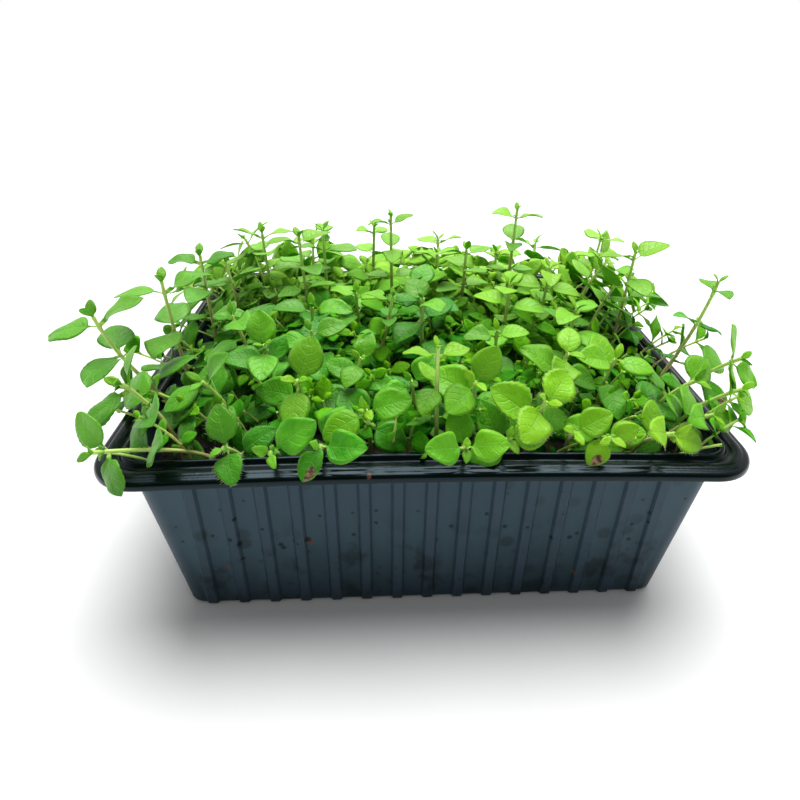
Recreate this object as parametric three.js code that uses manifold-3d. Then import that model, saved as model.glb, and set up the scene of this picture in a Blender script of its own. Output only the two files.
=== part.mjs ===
// A shallow ribbed plastic tray, filled with soil and crowded with young herb shoots.
// Millimetres, +Z up. The origin is the middle of the tray's flat underside and the front is -Y.

import * as THREE from 'three';
import Module from 'manifold-3d';

const wasm = await Module();
wasm.setup();

// Tray
const RIM_LENGTH = 190;
const RIM_WIDTH = 165;
const RIM_HEIGHT = 58.4;
const RIM_CROWN = 2.3;
const RIM_RADIUS = 15.5;
const FLANGE_WIDTH = 8.4;
const END_TAPER = 8.8;
const SIDE_TAPER = 3;
const WALL = 1.2;
const FLOOR = 1.2;
const BASE_BEVEL = 1.5;
const BASE_RADIUS = 6;
const RIB_PITCH = 9.9;
const RIB_FOOT = 4;
const RIB_CREST = 2.6;
const RIB_PROUD = 0.9;
const RIBS_EACH_WAY_FRONT = 7;
const RIBS_EACH_WAY_END = 6;
const CORNER_STEPS = 5;

// Rim section, from the top of the wall out to the lip and back in: inset from the edge, drop from the top
const RIM_SECTION = [
  [1.1, 1.3],
  [1.0, 3.2],
  [0.0, 3.2],
  [0.0, 1.0],
  [0.7, 0.2],
  [5.0, 0.0],
  [5.9, 0.9],
  [6.8, 0.9],
  [7.5, -0.5],
  [8.6, -0.5],
  [9.6, 1.0],
];

// Soil
const SOIL_GAP = 0.5;
const SOIL_LEVEL = 48;
const SOIL_DISH = 2.2;
const SOIL_BUMPS = [
  { height: 0.9, alongX: 0.11, alongY: 0, phase: 1.3, acrossY: 0.13 },
  { height: 0.54, alongX: 0.27, alongY: -0.21, phase: 0, acrossY: 0 },
];
const SOIL_RINGS = [0.84, 0.5];
const HOLE_RADIUS = 1.45;
const HOLE_SIDES = 5;
const HOLE_DEPTH = 4;

// Stems
const STEM_RADIUS_LOW = 0.85;
const STEM_RADIUS_TOP = 0.65;
const STEM_DEPTH = 3.4;
const STEM_SIDES = 4;
const COLLAR = 1.2;
const KNEE = 0.55;
const UPRIGHT_KNEE = 0.82;
const UPRIGHT_FROM = 84;
const NODE_HEIGHT = 0.75;

// Leaf blades
const BLADE = 0.6;
const CLEARANCE = 0.35;
const PETIOLE_HALF_WIDTH = 0.4;
const PETIOLE_END = 0.2;
const PETIOLE_GROWTH = 1.15;
const OUTLINE_LEAN = 0.75;
const OUTLINE_ROUND = 0.8;
const SHORTEN_BY_ARCH = 0.1;
const ARCH = 0.3;
const RIPPLES = 9.4;
const RIPPLE_SKEW = 2;
const LARGE_LEAF = 17.5;
const SMALL_LEAF = 7;
const STATIONS_LARGE = [0, 0.22, 0.5, 0.8, 1];
const STATIONS_MIDDLE = [0, 0.34, 0.7, 1];
const STATIONS_SMALL = [0, 0.5, 1];

// How leaves differ, as the lowest and highest of each measure
const TURN_DRIFT = [-12, 12];
const OPEN_DRIFT = [-9, 9];
const LIGHT_DRIFT = [-0.25, 0.25];
const SIZE_DRIFT = [0.92, 1.08];
const LEAF_WIDTH = [0.7, 0.86];
const LEAF_BEND = [0.6, 1.4];
const LEAF_CUP = [-0.15, 0.35];
const LEAF_WAVE = [0, 0.05];
const RIPPLE_PHASE = [-3.14, 3.14];

// A leaf's upper face looks to the light, and low stems lean to it: to the near side and to the front
const LIGHT_HEIGHT = 0.6;
const STEM_PULL = 0.5;
const SIDE_LEAN = 0.25;
const FRONT_LEAN = 0.5;

// A leaf that would touch a neighbour is turned, nodded and shortened in steps, the middle pairs first
const LEAF_TRIES = 14;
const LEAF_ORDER = [1, 2, 3, 0];
const SWAY_STEP = 10;
const NOD_STEP = 8;
const SHORTEN_STEP = 0.022;

// Leaf pairs from the tip down: distance below the tip, share of the leaf size, angle from the stem
const LEAF_PAIRS = [
  { below: 0.4, share: 0.36, open: 28 },
  { below: 2.4, share: 0.88, open: 60 },
  { below: 9.5, share: 1.0, open: 67 },
  { below: 17, share: 0.86, open: 72 },
];

// Shoots that stand out: root x, y; tip x, y, z; turn of the widest pair in degrees; blade length; number
// of pairs; how far apart the pairs stand, where 1 is close
const SHOOTS = [
  [-72, -42, -97, -46, 90, 4, 17, 4, 1.7],
  [-78, -28, -82, -30, 95, 8, 16, 4, 1.9],
  [-76, 0, -79, 2, 93, 0, 14, 4, 1.5],
  [-62, -64, -89, -80, 67, 60, 14, 3, 1],
  [-74, -60, -86, -62, 77, 30, 15, 3, 1],
  [-60, -50, -67, -54, 73, 5, 15, 3, 1],
  [-54, -66, -57, -76, 65, 80, 13, 3, 1],
  [-44, -66, -44, -80, 66, 35, 15, 3, 1],
  [-31, -66, -31, -80, 68, 0, 14, 3, 1],
  [-18, -62, -19, -70, 73, 25, 14, 3, 1],
  [-38, -50, -39, -57, 75, 70, 15, 3, 1],
  [-50, -38, -50, -44, 80, 85, 14, 3, 1],
  [-36, -30, -37, -34, 80, 10, 13, 3, 1],
  [-22, -45, -21, -49, 78, 60, 11, 3, 1],
  [-22, -26, -11, -24, 88, 5, 9, 4, 1],
  [-4, -50, -6, -56, 74, 40, 12, 3, 1],
  [2, -62, 1, -62, 88, 4, 11, 4, 1.4],
  [9, -66, 8, -80, 67, 0, 12, 3, 1],
  [14, -52, 12, -62, 77, 50, 14, 3, 1],
  [20, -66, 20, -76, 67, 30, 14, 3, 1],
  [29, -64, 31, -70, 75, 60, 15, 3, 1],
  [41, -64, 38, -76, 69, 20, 14, 3, 1],
  [51, -62, 48, -78, 68, 80, 13, 3, 1],
  [61, -64, 67, -76, 68, 15, 14, 3, 1],
  [72, -60, 82, -68, 69, 35, 13, 3, 1],
  [70, -50, 80, -57, 74, 80, 15, 3, 1],
  [56, -44, 58, -48, 77, 5, 14, 3, 1],
  [40, -44, 42, -50, 80, 75, 14, 3, 1],
  [24, -30, 23, -32, 79, 5, 12, 3, 1],
  [46, -22, 51, -25, 84, 40, 14, 3, 1],
  [74, -34, 95, -30, 96, 90, 10, 4, 1.9],
  [66, 4, 75, 4, 82, 15, 15, 3, 1],
  [68, 30, 80, 32, 81, 30, 12, 3, 1],
  [30, -6, 32, -4, 85, 65, 14, 4, 1],
  [46, 10, 49, 6, 88, 80, 13, 4, 1],
  [38, 34, 39, 28, 104, 0, 11, 4, 1.6],
  [18, 28, 20, 30, 87, 20, 14, 4, 1],
  [2, 2, -2, 0, 83, 70, 14, 4, 1],
  [-10, 34, -11, 28, 101, 10, 11, 4, 1.6],
  [-20, 54, -18, 52, 90, 45, 11, 4, 1.4],
  [-42, 18, -46, 18, 95, 30, 14, 4, 1.3],
  [-38, 40, -39, 40, 92, 80, 13, 4, 1],
  [-40, -10, -39, -12, 79, 0, 15, 3, 1],
  [-60, 38, -64, 40, 90, 15, 14, 4, 1],
  [76, 2, 80, 4, 94, 0, 16, 4, 1.1],
  [80, -42, 97, -50, 78, 0, 14, 3, 1],
  [78, -54, 92, -62, 74, 5, 13, 3, 1],
];

// The others fill the bare spots: each root is the loneliest of a few places drawn at random
const FILL_SHOOTS = 11;
const FILL_PLACES = 30;
const FILL_REACH = [78, 66];
const FILL_HEIGHT = [30, 38];
const FILL_LEAF = [13, 15];
const FILL_SPREAD = 1.08;
const FILL_LEAN = [-4, 4];
const FILL_TURN = [0, 180];

const DEGREE = Math.PI / 180;

// A repeatable draw from 0 to 1, for the given shoot, leaf and use
function draw(shoot, leaf, use) {
  let h = Math.imul(shoot + 1, 0x9e3779b1);
  h ^= Math.imul(leaf + 1, 0x85ebca6b);
  h ^= Math.imul(use + 1, 0xc2b2ae35);
  h ^= h >>> 15;
  h = Math.imul(h, 0x2c1b3c6d);
  h ^= h >>> 12;
  h = Math.imul(h, 0x297a2d39);
  h ^= h >>> 15;
  return (h >>> 0) / 2 ** 32;
}

// A closed skin under construction: points and outward triangles
class Skin {
  constructor() {
    this.points = [];
    this.triangles = [];
  }

  ring(points) {
    const start = this.points.length;
    this.points.push(...points);
    return { start, count: points.length };
  }

  face(a, b, c) {
    this.triangles.push([a, b, c]);
  }

  strip(low, high) {
    for (let i = 0; i < low.count; i += 1) {
      const next = (i + 1) % low.count;
      this.face(low.start + i, low.start + next, high.start + i);
      this.face(low.start + next, high.start + next, high.start + i);
    }
  }

  flatOutline(ring) {
    return this.points.slice(ring.start, ring.start + ring.count).map((p) => new THREE.Vector2(p.x, p.y));
  }

  cap(ring, facesUp) {
    for (const [a, b, c] of THREE.ShapeUtils.triangulateShape(this.flatOutline(ring), [])) {
      this.face(ring.start + a, ring.start + (facesUp ? b : c), ring.start + (facesUp ? c : b));
    }
  }

  undersideBetween(outer, inner) {
    const index = (i) => (i < outer.count ? outer.start + i : inner.start + i - outer.count);
    const flat = THREE.ShapeUtils.triangulateShape(this.flatOutline(outer), [this.flatOutline(inner)]);
    for (const [a, b, c] of flat) {
      this.face(index(a), index(c), index(b));
    }
  }

  solid() {
    const vertProperties = new Float32Array(this.points.flatMap((p) => [p.x, p.y, p.z]));
    const triVerts = new Uint32Array(this.triangles.flat());
    return new wasm.Manifold(new wasm.Mesh({ numProp: 3, vertProperties, triVerts }));
  }
}

function geometryOf(solid) {
  const mesh = solid.getMesh();
  const geometry = new THREE.BufferGeometry();
  geometry.setAttribute('position', new THREE.BufferAttribute(mesh.vertProperties, 3));
  geometry.setIndex(new THREE.BufferAttribute(mesh.triVerts, 1));
  geometry.computeVertexNormals();
  return geometry;
}

// Tray

function arc(centreX, centreY, radius, fromDegrees) {
  const points = [];
  for (let i = 0; i <= CORNER_STEPS; i += 1) {
    const angle = (fromDegrees + (90 * i) / CORNER_STEPS) * DEGREE;
    points.push([centreX + radius * Math.cos(angle), centreY + radius * Math.sin(angle)]);
  }
  return points;
}

// One straight side's ribs, as distances along the side and out from it
function ribs(eachWay) {
  const points = [];
  for (let i = -eachWay; i <= eachWay; i += 1) {
    points.push([i * RIB_PITCH - RIB_FOOT / 2, 0], [i * RIB_PITCH - RIB_CREST / 2, RIB_PROUD]);
    points.push([i * RIB_PITCH + RIB_CREST / 2, RIB_PROUD], [i * RIB_PITCH + RIB_FOOT / 2, 0]);
  }
  return points;
}

// A rounded rectangle, counter-clockwise from the front, with or without ribs
function outline(halfX, halfY, radius, ribbed) {
  const front = ribbed ? ribs(RIBS_EACH_WAY_FRONT) : [];
  const end = ribbed ? ribs(RIBS_EACH_WAY_END) : [];
  return [
    ...front.map(([s, out]) => [s, -halfY - out]),
    ...arc(halfX - radius, radius - halfY, radius, -90),
    ...end.map(([s, out]) => [halfX + out, s]),
    ...arc(halfX - radius, halfY - radius, radius, 0),
    ...front.map(([s, out]) => [-s, halfY + out]),
    ...arc(radius - halfX, halfY - radius, radius, 90),
    ...end.map(([s, out]) => [-halfX - out, -s]),
    ...arc(radius - halfX, radius - halfY, radius, 180),
  ];
}

// The soft rim bows: its long edges rise towards the middle, and the walls follow in proportion
function bowed([x, y], z) {
  const rise = RIM_CROWN * (1 - (2 * x / RIM_LENGTH) ** 2) * (z / RIM_HEIGHT);
  return new THREE.Vector3(x, y, z + rise);
}

function trayRing(insetX, insetY, radius, z, ribbed = false) {
  const flat = outline(RIM_LENGTH / 2 - insetX, RIM_WIDTH / 2 - insetY, radius, ribbed);
  return flat.map((point) => bowed(point, z));
}

function makeTray() {
  const skin = new Skin();
  const footX = FLANGE_WIDTH + END_TAPER;
  const footY = FLANGE_WIDTH + SIDE_TAPER;
  const wallRadius = RIM_RADIUS - FLANGE_WIDTH;
  const bevel = BASE_BEVEL;
  const base = skin.ring(trayRing(footX + bevel, footY + bevel, BASE_RADIUS - bevel, 0, true));
  const foot = skin.ring(trayRing(footX, footY, BASE_RADIUS, bevel, true));
  const underRim = RIM_HEIGHT - RIM_SECTION[0][1];
  const wallTop = skin.ring(trayRing(FLANGE_WIDTH, FLANGE_WIDTH, wallRadius, underRim, true));
  skin.cap(base, false);
  skin.strip(base, foot);
  skin.strip(foot, wallTop);

  let last = null;
  for (const [inset, drop] of RIM_SECTION) {
    const ring = skin.ring(trayRing(inset, inset, RIM_RADIUS - inset, RIM_HEIGHT - drop));
    if (last) {
      skin.strip(last, ring);
    } else {
      skin.undersideBetween(ring, wallTop);
    }
    last = ring;
  }

  const floor = skin.ring(trayRing(footX + WALL, footY + WALL, BASE_RADIUS - WALL, FLOOR));
  skin.strip(last, floor);
  skin.cap(floor, true);
  return skin.solid();
}

// Soil

function soilHeight(x, y) {
  const dish = SOIL_DISH * Math.max((2 * x / RIM_LENGTH) ** 4, (2 * y / RIM_WIDTH) ** 4);
  const bumps = SOIL_BUMPS.map(({ height, alongX, alongY, phase, acrossY }) => (
    height * Math.sin(alongX * x + alongY * y + phase) * Math.cos(acrossY * y)
  ));
  return SOIL_LEVEL - dish + bumps[0] + bumps[1];
}

function soilOutline(z, scale) {
  const share = (z - FLOOR) / (RIM_HEIGHT - FLOOR);
  const insetX = FLANGE_WIDTH + WALL + SOIL_GAP + END_TAPER * (1 - share);
  const insetY = FLANGE_WIDTH + WALL + SOIL_GAP + SIDE_TAPER * (1 - share);
  const flat = outline(RIM_LENGTH / 2 - insetX, RIM_WIDTH / 2 - insetY, BASE_RADIUS, false);
  return flat.map(([x, y]) => [x * scale, y * scale]);
}

function makeSoil(shoots) {
  const skin = new Skin();
  const bottom = FLOOR + SOIL_GAP;
  const low = skin.ring(soilOutline(bottom, 1).map(([x, y]) => new THREE.Vector3(x, y, bottom)));
  skin.cap(low, false);
  let last = low;
  for (const scale of [1, ...SOIL_RINGS]) {
    const flat = soilOutline(SOIL_LEVEL, scale);
    const ring = skin.ring(flat.map(([x, y]) => new THREE.Vector3(x, y, soilHeight(x, y))));
    skin.strip(last, ring);
    last = ring;
  }
  const middle = skin.ring([new THREE.Vector3(0, 0, soilHeight(0, 0))]);
  for (let i = 0; i < last.count; i += 1) {
    skin.face(last.start + i, last.start + ((i + 1) % last.count), middle.start);
  }
  return shoots.reduce((soil, shoot) => soil.subtract(makeHole(shoot)), skin.solid());
}

function polygonRing(centre, radius, sides, ahead, aside, turn = 0) {
  const points = [];
  for (let i = 0; i < sides; i += 1) {
    const angle = (2 * Math.PI * (i + 0.5)) / sides + turn * DEGREE;
    const point = centre.clone().addScaledVector(ahead, radius * Math.cos(angle));
    points.push(point.addScaledVector(aside, radius * Math.sin(angle)));
  }
  return points;
}

const ALONG_X = new THREE.Vector3(1, 0, 0);
const ALONG_Y = new THREE.Vector3(0, 1, 0);
const UPWARD = new THREE.Vector3(0, 0, 1);

function makeHole({ root }) {
  const skin = new Skin();
  const surface = soilHeight(root.x, root.y);
  const [low, high] = [surface - HOLE_DEPTH, surface + HOLE_DEPTH].map((z) => {
    const centre = new THREE.Vector3(root.x, root.y, z);
    return skin.ring(polygonRing(centre, HOLE_RADIUS, HOLE_SIDES, ALONG_X, ALONG_Y));
  });
  skin.cap(low, false);
  skin.strip(low, high);
  skin.cap(high, true);
  return skin.solid();
}

// Stems

// A low stem rises straight and then leans out, and a tall one leans out first and ends upright
function describeShoot([rootX, rootY, tipX, tipY, tipZ, turn, size, pairs, pace]) {
  const root = new THREE.Vector3(rootX, rootY, soilHeight(rootX, rootY));
  const collar = root.clone().addScaledVector(UPWARD, COLLAR);
  const tip = new THREE.Vector3(tipX, tipY, tipZ);
  const upright = tipZ >= UPRIGHT_FROM;
  const knee = collar.clone().lerp(tip, upright ? UPRIGHT_KNEE : 0);
  knee.z = collar.z + KNEE * (tipZ - collar.z);
  const path = new THREE.QuadraticBezierCurve3(collar, knee, tip);
  return { root, path, reach: collar.distanceTo(tip), upright, turn, size, pairs, pace };
}

// Two directions square to the stem: the first looks to +X and the second to +Y on an upright stem
function aroundStem(axis) {
  const ahead = ALONG_Y.clone().cross(axis).normalize();
  const aside = axis.clone().cross(ahead);
  return { ahead, aside };
}

// The square rings of a stem from its foot to its tip, with two close together where a leaf pair grows
function stemRings(shoot) {
  const { root, path, reach, turn, pairs, pace } = shoot;
  const at = (below) => {
    const share = Math.max(0, 1 - below / reach);
    const radius = STEM_RADIUS_LOW + (STEM_RADIUS_TOP - STEM_RADIUS_LOW) * share;
    return { centre: path.getPoint(share), axis: path.getTangent(share), radius };
  };
  const foot = root.clone().addScaledVector(UPWARD, -STEM_DEPTH);
  const stations = [{ centre: foot, axis: UPWARD, radius: STEM_RADIUS_LOW }, at(reach)];
  for (let pair = pairs - 1; pair >= 0; pair -= 1) {
    const node = at(LEAF_PAIRS[pair].below * pace);
    const lift = node.axis.clone().multiplyScalar(NODE_HEIGHT / 2);
    stations.push({ ...node, centre: node.centre.clone().sub(lift) });
    stations.push({ ...node, centre: node.centre.clone().add(lift), pair });
  }
  return stations.map(({ centre, axis, radius, pair }) => {
    const { ahead, aside } = aroundStem(axis);
    return { points: polygonRing(centre, radius, STEM_SIDES, ahead, aside, turn - 90), pair };
  });
}

// Leaves

// How far a low stem's direction leans to the light at a place: to the near side, and to the front
function leanAt({ x, y }, upright) {
  const front = Math.min(0, (2 * y) / RIM_WIDTH);
  const lean = new THREE.Vector3((SIDE_LEAN * 2 * x) / RIM_LENGTH, FRONT_LEAN * front, 0);
  return lean.multiplyScalar(upright ? 0 : 1);
}

// A leaf of one shoot: pair counts from the tip, and each try after the first bends it a little aside
function describeLeaf(shoot, number, pair, side, attempt) {
  const { share, open } = LEAF_PAIRS[pair];
  const between = ([low, high], use) => low + (high - low) * draw(number, pair * 2 + side, use);
  const sway = (attempt % 2 ? 1 : -1) * Math.ceil(attempt / 2) * SWAY_STEP;
  const nod = ((attempt + 1) % 3 - 1) * NOD_STEP;
  const where = 1 - (LEAF_PAIRS[pair].below * shoot.pace) / shoot.reach;
  const root = shoot.path.getPoint(where);
  const lean = leanAt(root, shoot.upright);
  const axis = shoot.path.getTangent(where).add(lean).normalize();
  const { ahead, aside } = aroundStem(axis);
  const around = (shoot.turn + 90 * (pair + 1) + 180 * side + between(TURN_DRIFT, 0) + sway) * DEGREE;
  const angle = (open + between(OPEN_DRIFT, 1) + nod) * DEGREE;
  const outward = ahead.clone().multiplyScalar(Math.cos(around)).addScaledVector(aside, Math.sin(around));
  const along = axis.clone().multiplyScalar(Math.cos(angle)).addScaledVector(outward, Math.sin(angle));
  const light = new THREE.Vector3(between(LIGHT_DRIFT, 2), between(LIGHT_DRIFT, 3), LIGHT_HEIGHT).add(lean);
  const up = light.addScaledVector(axis, STEM_PULL);
  up.addScaledVector(along, -up.dot(along)).normalize();
  const across = up.clone().cross(along);
  const blade = shoot.size * share * between(SIZE_DRIFT, 4) * (1 - SHORTEN_STEP * attempt);
  return {
    root,
    along,
    across,
    up,
    length: blade * PETIOLE_GROWTH,
    width: blade * between(LEAF_WIDTH, 5),
    pair,
    face: (pair + 2 * side + 1) % STEM_SIDES,
    bend: between(LEAF_BEND, 6),
    cup: between(LEAF_CUP, 7),
    wave: between(LEAF_WAVE, 8),
    phase: between(RIPPLE_PHASE, 9),
  };
}

// Half the width at u, from 0 at the root to 1 at the tip: a narrow petiole, then an egg shape
function halfWidth(leaf, u) {
  const t = Math.max(0, (u - PETIOLE_END) / (1 - PETIOLE_END));
  const blade = 0.5 * leaf.width * Math.sin(Math.PI * Math.min(1, t) ** OUTLINE_LEAN) ** OUTLINE_ROUND;
  return u < 0.5 ? Math.max(PETIOLE_HALF_WIDTH, blade) : blade;
}

// A point of the blade: u runs from root to tip, v from edge to edge, face is -1 below and 1 above
function leafPoint(leaf, u, v, face, swell) {
  const w = v * (halfWidth(leaf, u) + swell);
  const run = leaf.length * (u - SHORTEN_BY_ARCH * leaf.bend * u * u) + (u === 1 ? swell : 0);
  const arch = -ARCH * leaf.bend * leaf.length * u * u;
  const fold = (leaf.cup * w * w) / (0.5 * leaf.width);
  const ripple = Math.abs(v) * Math.sin(RIPPLES * u + leaf.phase + RIPPLE_SKEW * v);
  const rise = arch + fold + leaf.wave * leaf.length * ripple + face * (BLADE / 2 + swell);
  const point = leaf.root.clone().addScaledVector(leaf.along, run);
  return point.addScaledVector(leaf.across, w).addScaledVector(leaf.up, rise);
}

function stationsOf(leaf) {
  if (leaf.length > LARGE_LEAF) {
    return STATIONS_LARGE;
  }
  return leaf.length > SMALL_LEAF ? STATIONS_MIDDLE : STATIONS_SMALL;
}

// The blade is added to a skin as an upper and a lower point at each place. Its root is either four
// corners of the stem, as [right, left] pairs of [upper, lower], or an end of its own.
function addLeaf(skin, leaf, swell, rootPairs) {
  const place = (u, v) => {
    const { start } = skin.ring([leafPoint(leaf, u, v, 1, swell), leafPoint(leaf, u, v, -1, swell)]);
    return [start, start + 1];
  };
  const [rightRoot, leftRoot] = rootPairs ?? [place(0, -1), place(0, 1)];
  const right = [rightRoot];
  const middle = [null];
  const left = [leftRoot];
  for (const u of stationsOf(leaf).slice(1, -1)) {
    right.push(place(u, -1));
    middle.push(place(u, 0));
    left.push(place(u, 1));
  }
  const tip = place(1, 0);
  const bothFaces = (a, b, c) => {
    skin.face(a[0], b[0], c[0]);
    skin.face(a[1], c[1], b[1]);
  };
  bothFaces(right[0], right[1], middle[1]);
  bothFaces(right[0], middle[1], left[0]);
  bothFaces(left[0], middle[1], left[1]);
  for (let i = 1; i < right.length - 1; i += 1) {
    bothFaces(right[i], right[i + 1], middle[i + 1]);
    bothFaces(right[i], middle[i + 1], middle[i]);
    bothFaces(middle[i], middle[i + 1], left[i + 1]);
    bothFaces(middle[i], left[i + 1], left[i]);
  }
  const end = right.length - 1;
  bothFaces(right[end], tip, middle[end]);
  bothFaces(middle[end], tip, left[end]);
  const edge = [...right, tip, ...left.reverse()];
  const sides = rootPairs ? edge.length - 1 : edge.length;
  for (let i = 0; i < sides; i += 1) {
    const a = edge[i];
    const b = edge[(i + 1) % edge.length];
    skin.face(a[1], b[1], b[0]);
    skin.face(a[1], b[0], a[0]);
  }
}

// A leaf on its own, swollen by the room it needs, to try whether it fits
function leafRoom(leaf) {
  const skin = new Skin();
  addLeaf(skin, leaf, CLEARANCE, null);
  return skin.solid();
}

// One body: the stem is a square tube, and each leaf grows out of one of its faces
function makeShoot(shoot, leaves) {
  const skin = new Skin();
  const rings = stemRings(shoot).map(({ points, pair }) => ({ ...skin.ring(points), pair }));
  const [first, last] = [rings[0].start, rings[rings.length - 1].start];
  skin.face(first, first + 2, first + 1);
  skin.face(first, first + 3, first + 2);
  skin.face(last, last + 1, last + 2);
  skin.face(last, last + 2, last + 3);
  rings.slice(1).forEach((high, i) => {
    const low = rings[i].start;
    for (let corner = 0; corner < STEM_SIDES; corner += 1) {
      const next = (corner + 1) % STEM_SIDES;
      const leaf = leaves.find(({ pair, face }) => pair === high.pair && face === corner);
      if (leaf) {
        const rootPairs = [[high.start + corner, low + corner], [high.start + next, low + next]];
        addLeaf(skin, leaf, 0, rootPairs);
      } else {
        skin.face(low + corner, low + next, high.start + corner);
        skin.face(low + next, high.start + next, high.start + corner);
      }
    }
  });
  return skin.solid();
}

// Planting

function plantFill() {
  const roots = SHOOTS.map(([x, y]) => [x, y]);
  const fill = [];
  const loneliness = ([x, y]) => Math.min(...roots.map(([a, b]) => Math.hypot(a - x, b - y)));
  for (let number = 0; number < FILL_SHOOTS; number += 1) {
    const between = ([low, high], place, use) => low + (high - low) * draw(number, place, use);
    let best = [0, 0];
    for (let place = 0; place < FILL_PLACES; place += 1) {
      const [x, y] = FILL_REACH.map((reach, axis) => between([-reach, reach], place, axis));
      best = loneliness([x, y]) > loneliness(best) ? [x, y] : best;
    }
    roots.push(best);
    const [x, y] = best;
    const tipX = x * FILL_SPREAD + between(FILL_LEAN, FILL_PLACES, 0);
    const tipY = y * FILL_SPREAD + between(FILL_LEAN, FILL_PLACES, 1);
    const tipZ = soilHeight(x, y) + between(FILL_HEIGHT, FILL_PLACES, 2);
    const turn = between(FILL_TURN, FILL_PLACES, 3);
    fill.push([x, y, tipX, tipY, tipZ, turn, between(FILL_LEAF, FILL_PLACES, 4), LEAF_PAIRS.length, 1]);
  }
  return fill;
}

function boxesMeet(a, b) {
  return [0, 1, 2].every((i) => a.min[i] < b.max[i] && b.min[i] < a.max[i]);
}

const shoots = [...SHOOTS, ...plantFill()].map(describeShoot);
const tray = makeTray();
const soil = makeSoil(shoots);
const stems = shoots.map((shoot) => makeShoot(shoot, []));

const standing = [
  { owner: 'tray', solid: tray, box: tray.boundingBox() },
  { owner: 'soil', solid: soil, box: soil.boundingBox() },
  ...stems.map((solid, owner) => ({ owner, solid, box: solid.boundingBox() })),
];

function isClear(solid, owner, pair) {
  const box = solid.boundingBox();
  const mayTouch = (other) => other.owner === owner && (other.pair ?? pair) === pair;
  const near = standing.filter((other) => !mayTouch(other) && boxesMeet(box, other.box));
  return near.every((other) => solid.intersect(other.solid).isEmpty());
}

// Each leaf takes the first of its tries that touches nothing but its own stem and its twin
const leavesOf = shoots.map(() => []);
for (const pair of LEAF_ORDER) {
  shoots.forEach((shoot, number) => {
    for (const side of [0, 1]) {
      for (let attempt = 0; pair < shoot.pairs && attempt < LEAF_TRIES; attempt += 1) {
        const leaf = describeLeaf(shoot, number, pair, side, attempt);
        const room = leafRoom(leaf);
        if (isClear(room, number, pair)) {
          standing.push({ owner: number, pair, solid: room, box: room.boundingBox() });
          leavesOf[number].push(leaf);
          break;
        }
      }
    }
  });
}
const bodies = shoots.map((shoot, number) => makeShoot(shoot, leavesOf[number]));

// Finishes
const slatePlastic = new THREE.MeshStandardMaterial({ color: 0x37444f, roughness: 0.38, metalness: 0 });
const darkSoil = new THREE.MeshStandardMaterial({ color: 0x2a211a, roughness: 0.95, metalness: 0 });
const leafGreen = new THREE.MeshStandardMaterial({ color: 0x5fae2e, roughness: 0.55, metalness: 0 });

function piece(name, solid, material) {
  const mesh = new THREE.Mesh(geometryOf(solid), material);
  mesh.name = name;
  return mesh;
}

const plantedTray = new THREE.Group();
plantedTray.add(piece('tray', tray, slatePlastic));
plantedTray.add(piece('soil', soil, darkSoil));
bodies.forEach((body, number) => {
  plantedTray.add(piece(`shoot_${String(number + 1).padStart(2, '0')}`, body, leafGreen));
});

export default plantedTray;
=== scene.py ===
# %% [markdown]
# A ribbed plastic tray of young herb shoots
#
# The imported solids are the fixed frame: a tray, a body of soil and 58 leafy stems. This lesson dresses each
# of them. The tray gets rounded ribs and a true rim section, the soil gets crumbs, the stems get hairs, and
# every faceted leaf gets a smooth blade with veins and teeth on the same spot.

# %% Load the frame
import math

import bpy
import numpy as np
from mathutils import Matrix, Vector


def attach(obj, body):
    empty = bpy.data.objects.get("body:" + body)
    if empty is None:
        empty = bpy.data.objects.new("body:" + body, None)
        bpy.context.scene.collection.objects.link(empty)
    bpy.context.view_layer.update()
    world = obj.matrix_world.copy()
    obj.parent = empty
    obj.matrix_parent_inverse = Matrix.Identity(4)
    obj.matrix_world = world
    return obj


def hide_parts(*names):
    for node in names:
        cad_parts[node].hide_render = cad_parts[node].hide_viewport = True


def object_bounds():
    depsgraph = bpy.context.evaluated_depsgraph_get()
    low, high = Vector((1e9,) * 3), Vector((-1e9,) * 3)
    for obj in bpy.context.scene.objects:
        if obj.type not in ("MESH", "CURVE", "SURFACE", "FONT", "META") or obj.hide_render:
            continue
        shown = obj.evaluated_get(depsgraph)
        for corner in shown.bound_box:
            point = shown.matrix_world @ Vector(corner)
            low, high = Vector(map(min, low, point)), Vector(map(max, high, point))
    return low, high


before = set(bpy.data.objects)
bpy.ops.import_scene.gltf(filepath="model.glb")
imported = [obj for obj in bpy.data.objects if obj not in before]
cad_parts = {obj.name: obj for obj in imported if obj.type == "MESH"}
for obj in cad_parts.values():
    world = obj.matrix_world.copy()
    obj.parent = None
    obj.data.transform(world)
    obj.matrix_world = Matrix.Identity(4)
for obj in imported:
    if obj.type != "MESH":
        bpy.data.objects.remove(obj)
cad_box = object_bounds()
print("the solids' box in mm:", [[round(1000 * c, 1) for c in corner] for corner in cad_box])

MM = 0.001
scene = bpy.context.scene
scene.view_settings.view_transform = "Standard"

# %% [markdown]
# The camera stands low in front of the tray and looks down on it by about 29 degrees, close enough for a
# strong perspective. Its place, turn and focal length were worked out from the tray's rim and ribs in the
# photograph.

# %% Camera
CAMERA_PLACE = Vector((-13.8, -212.0, 162.6)) * MM
CAMERA_YAW = math.radians(4.36)
CAMERA_PITCH = math.radians(28.95)
CAMERA_ROLL = math.radians(1.845)
FOCAL_SHARE = 0.7608
SENSOR = 36.0
SHIFT = -0.03125
NEAREST_SEEN = 0.005


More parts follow.
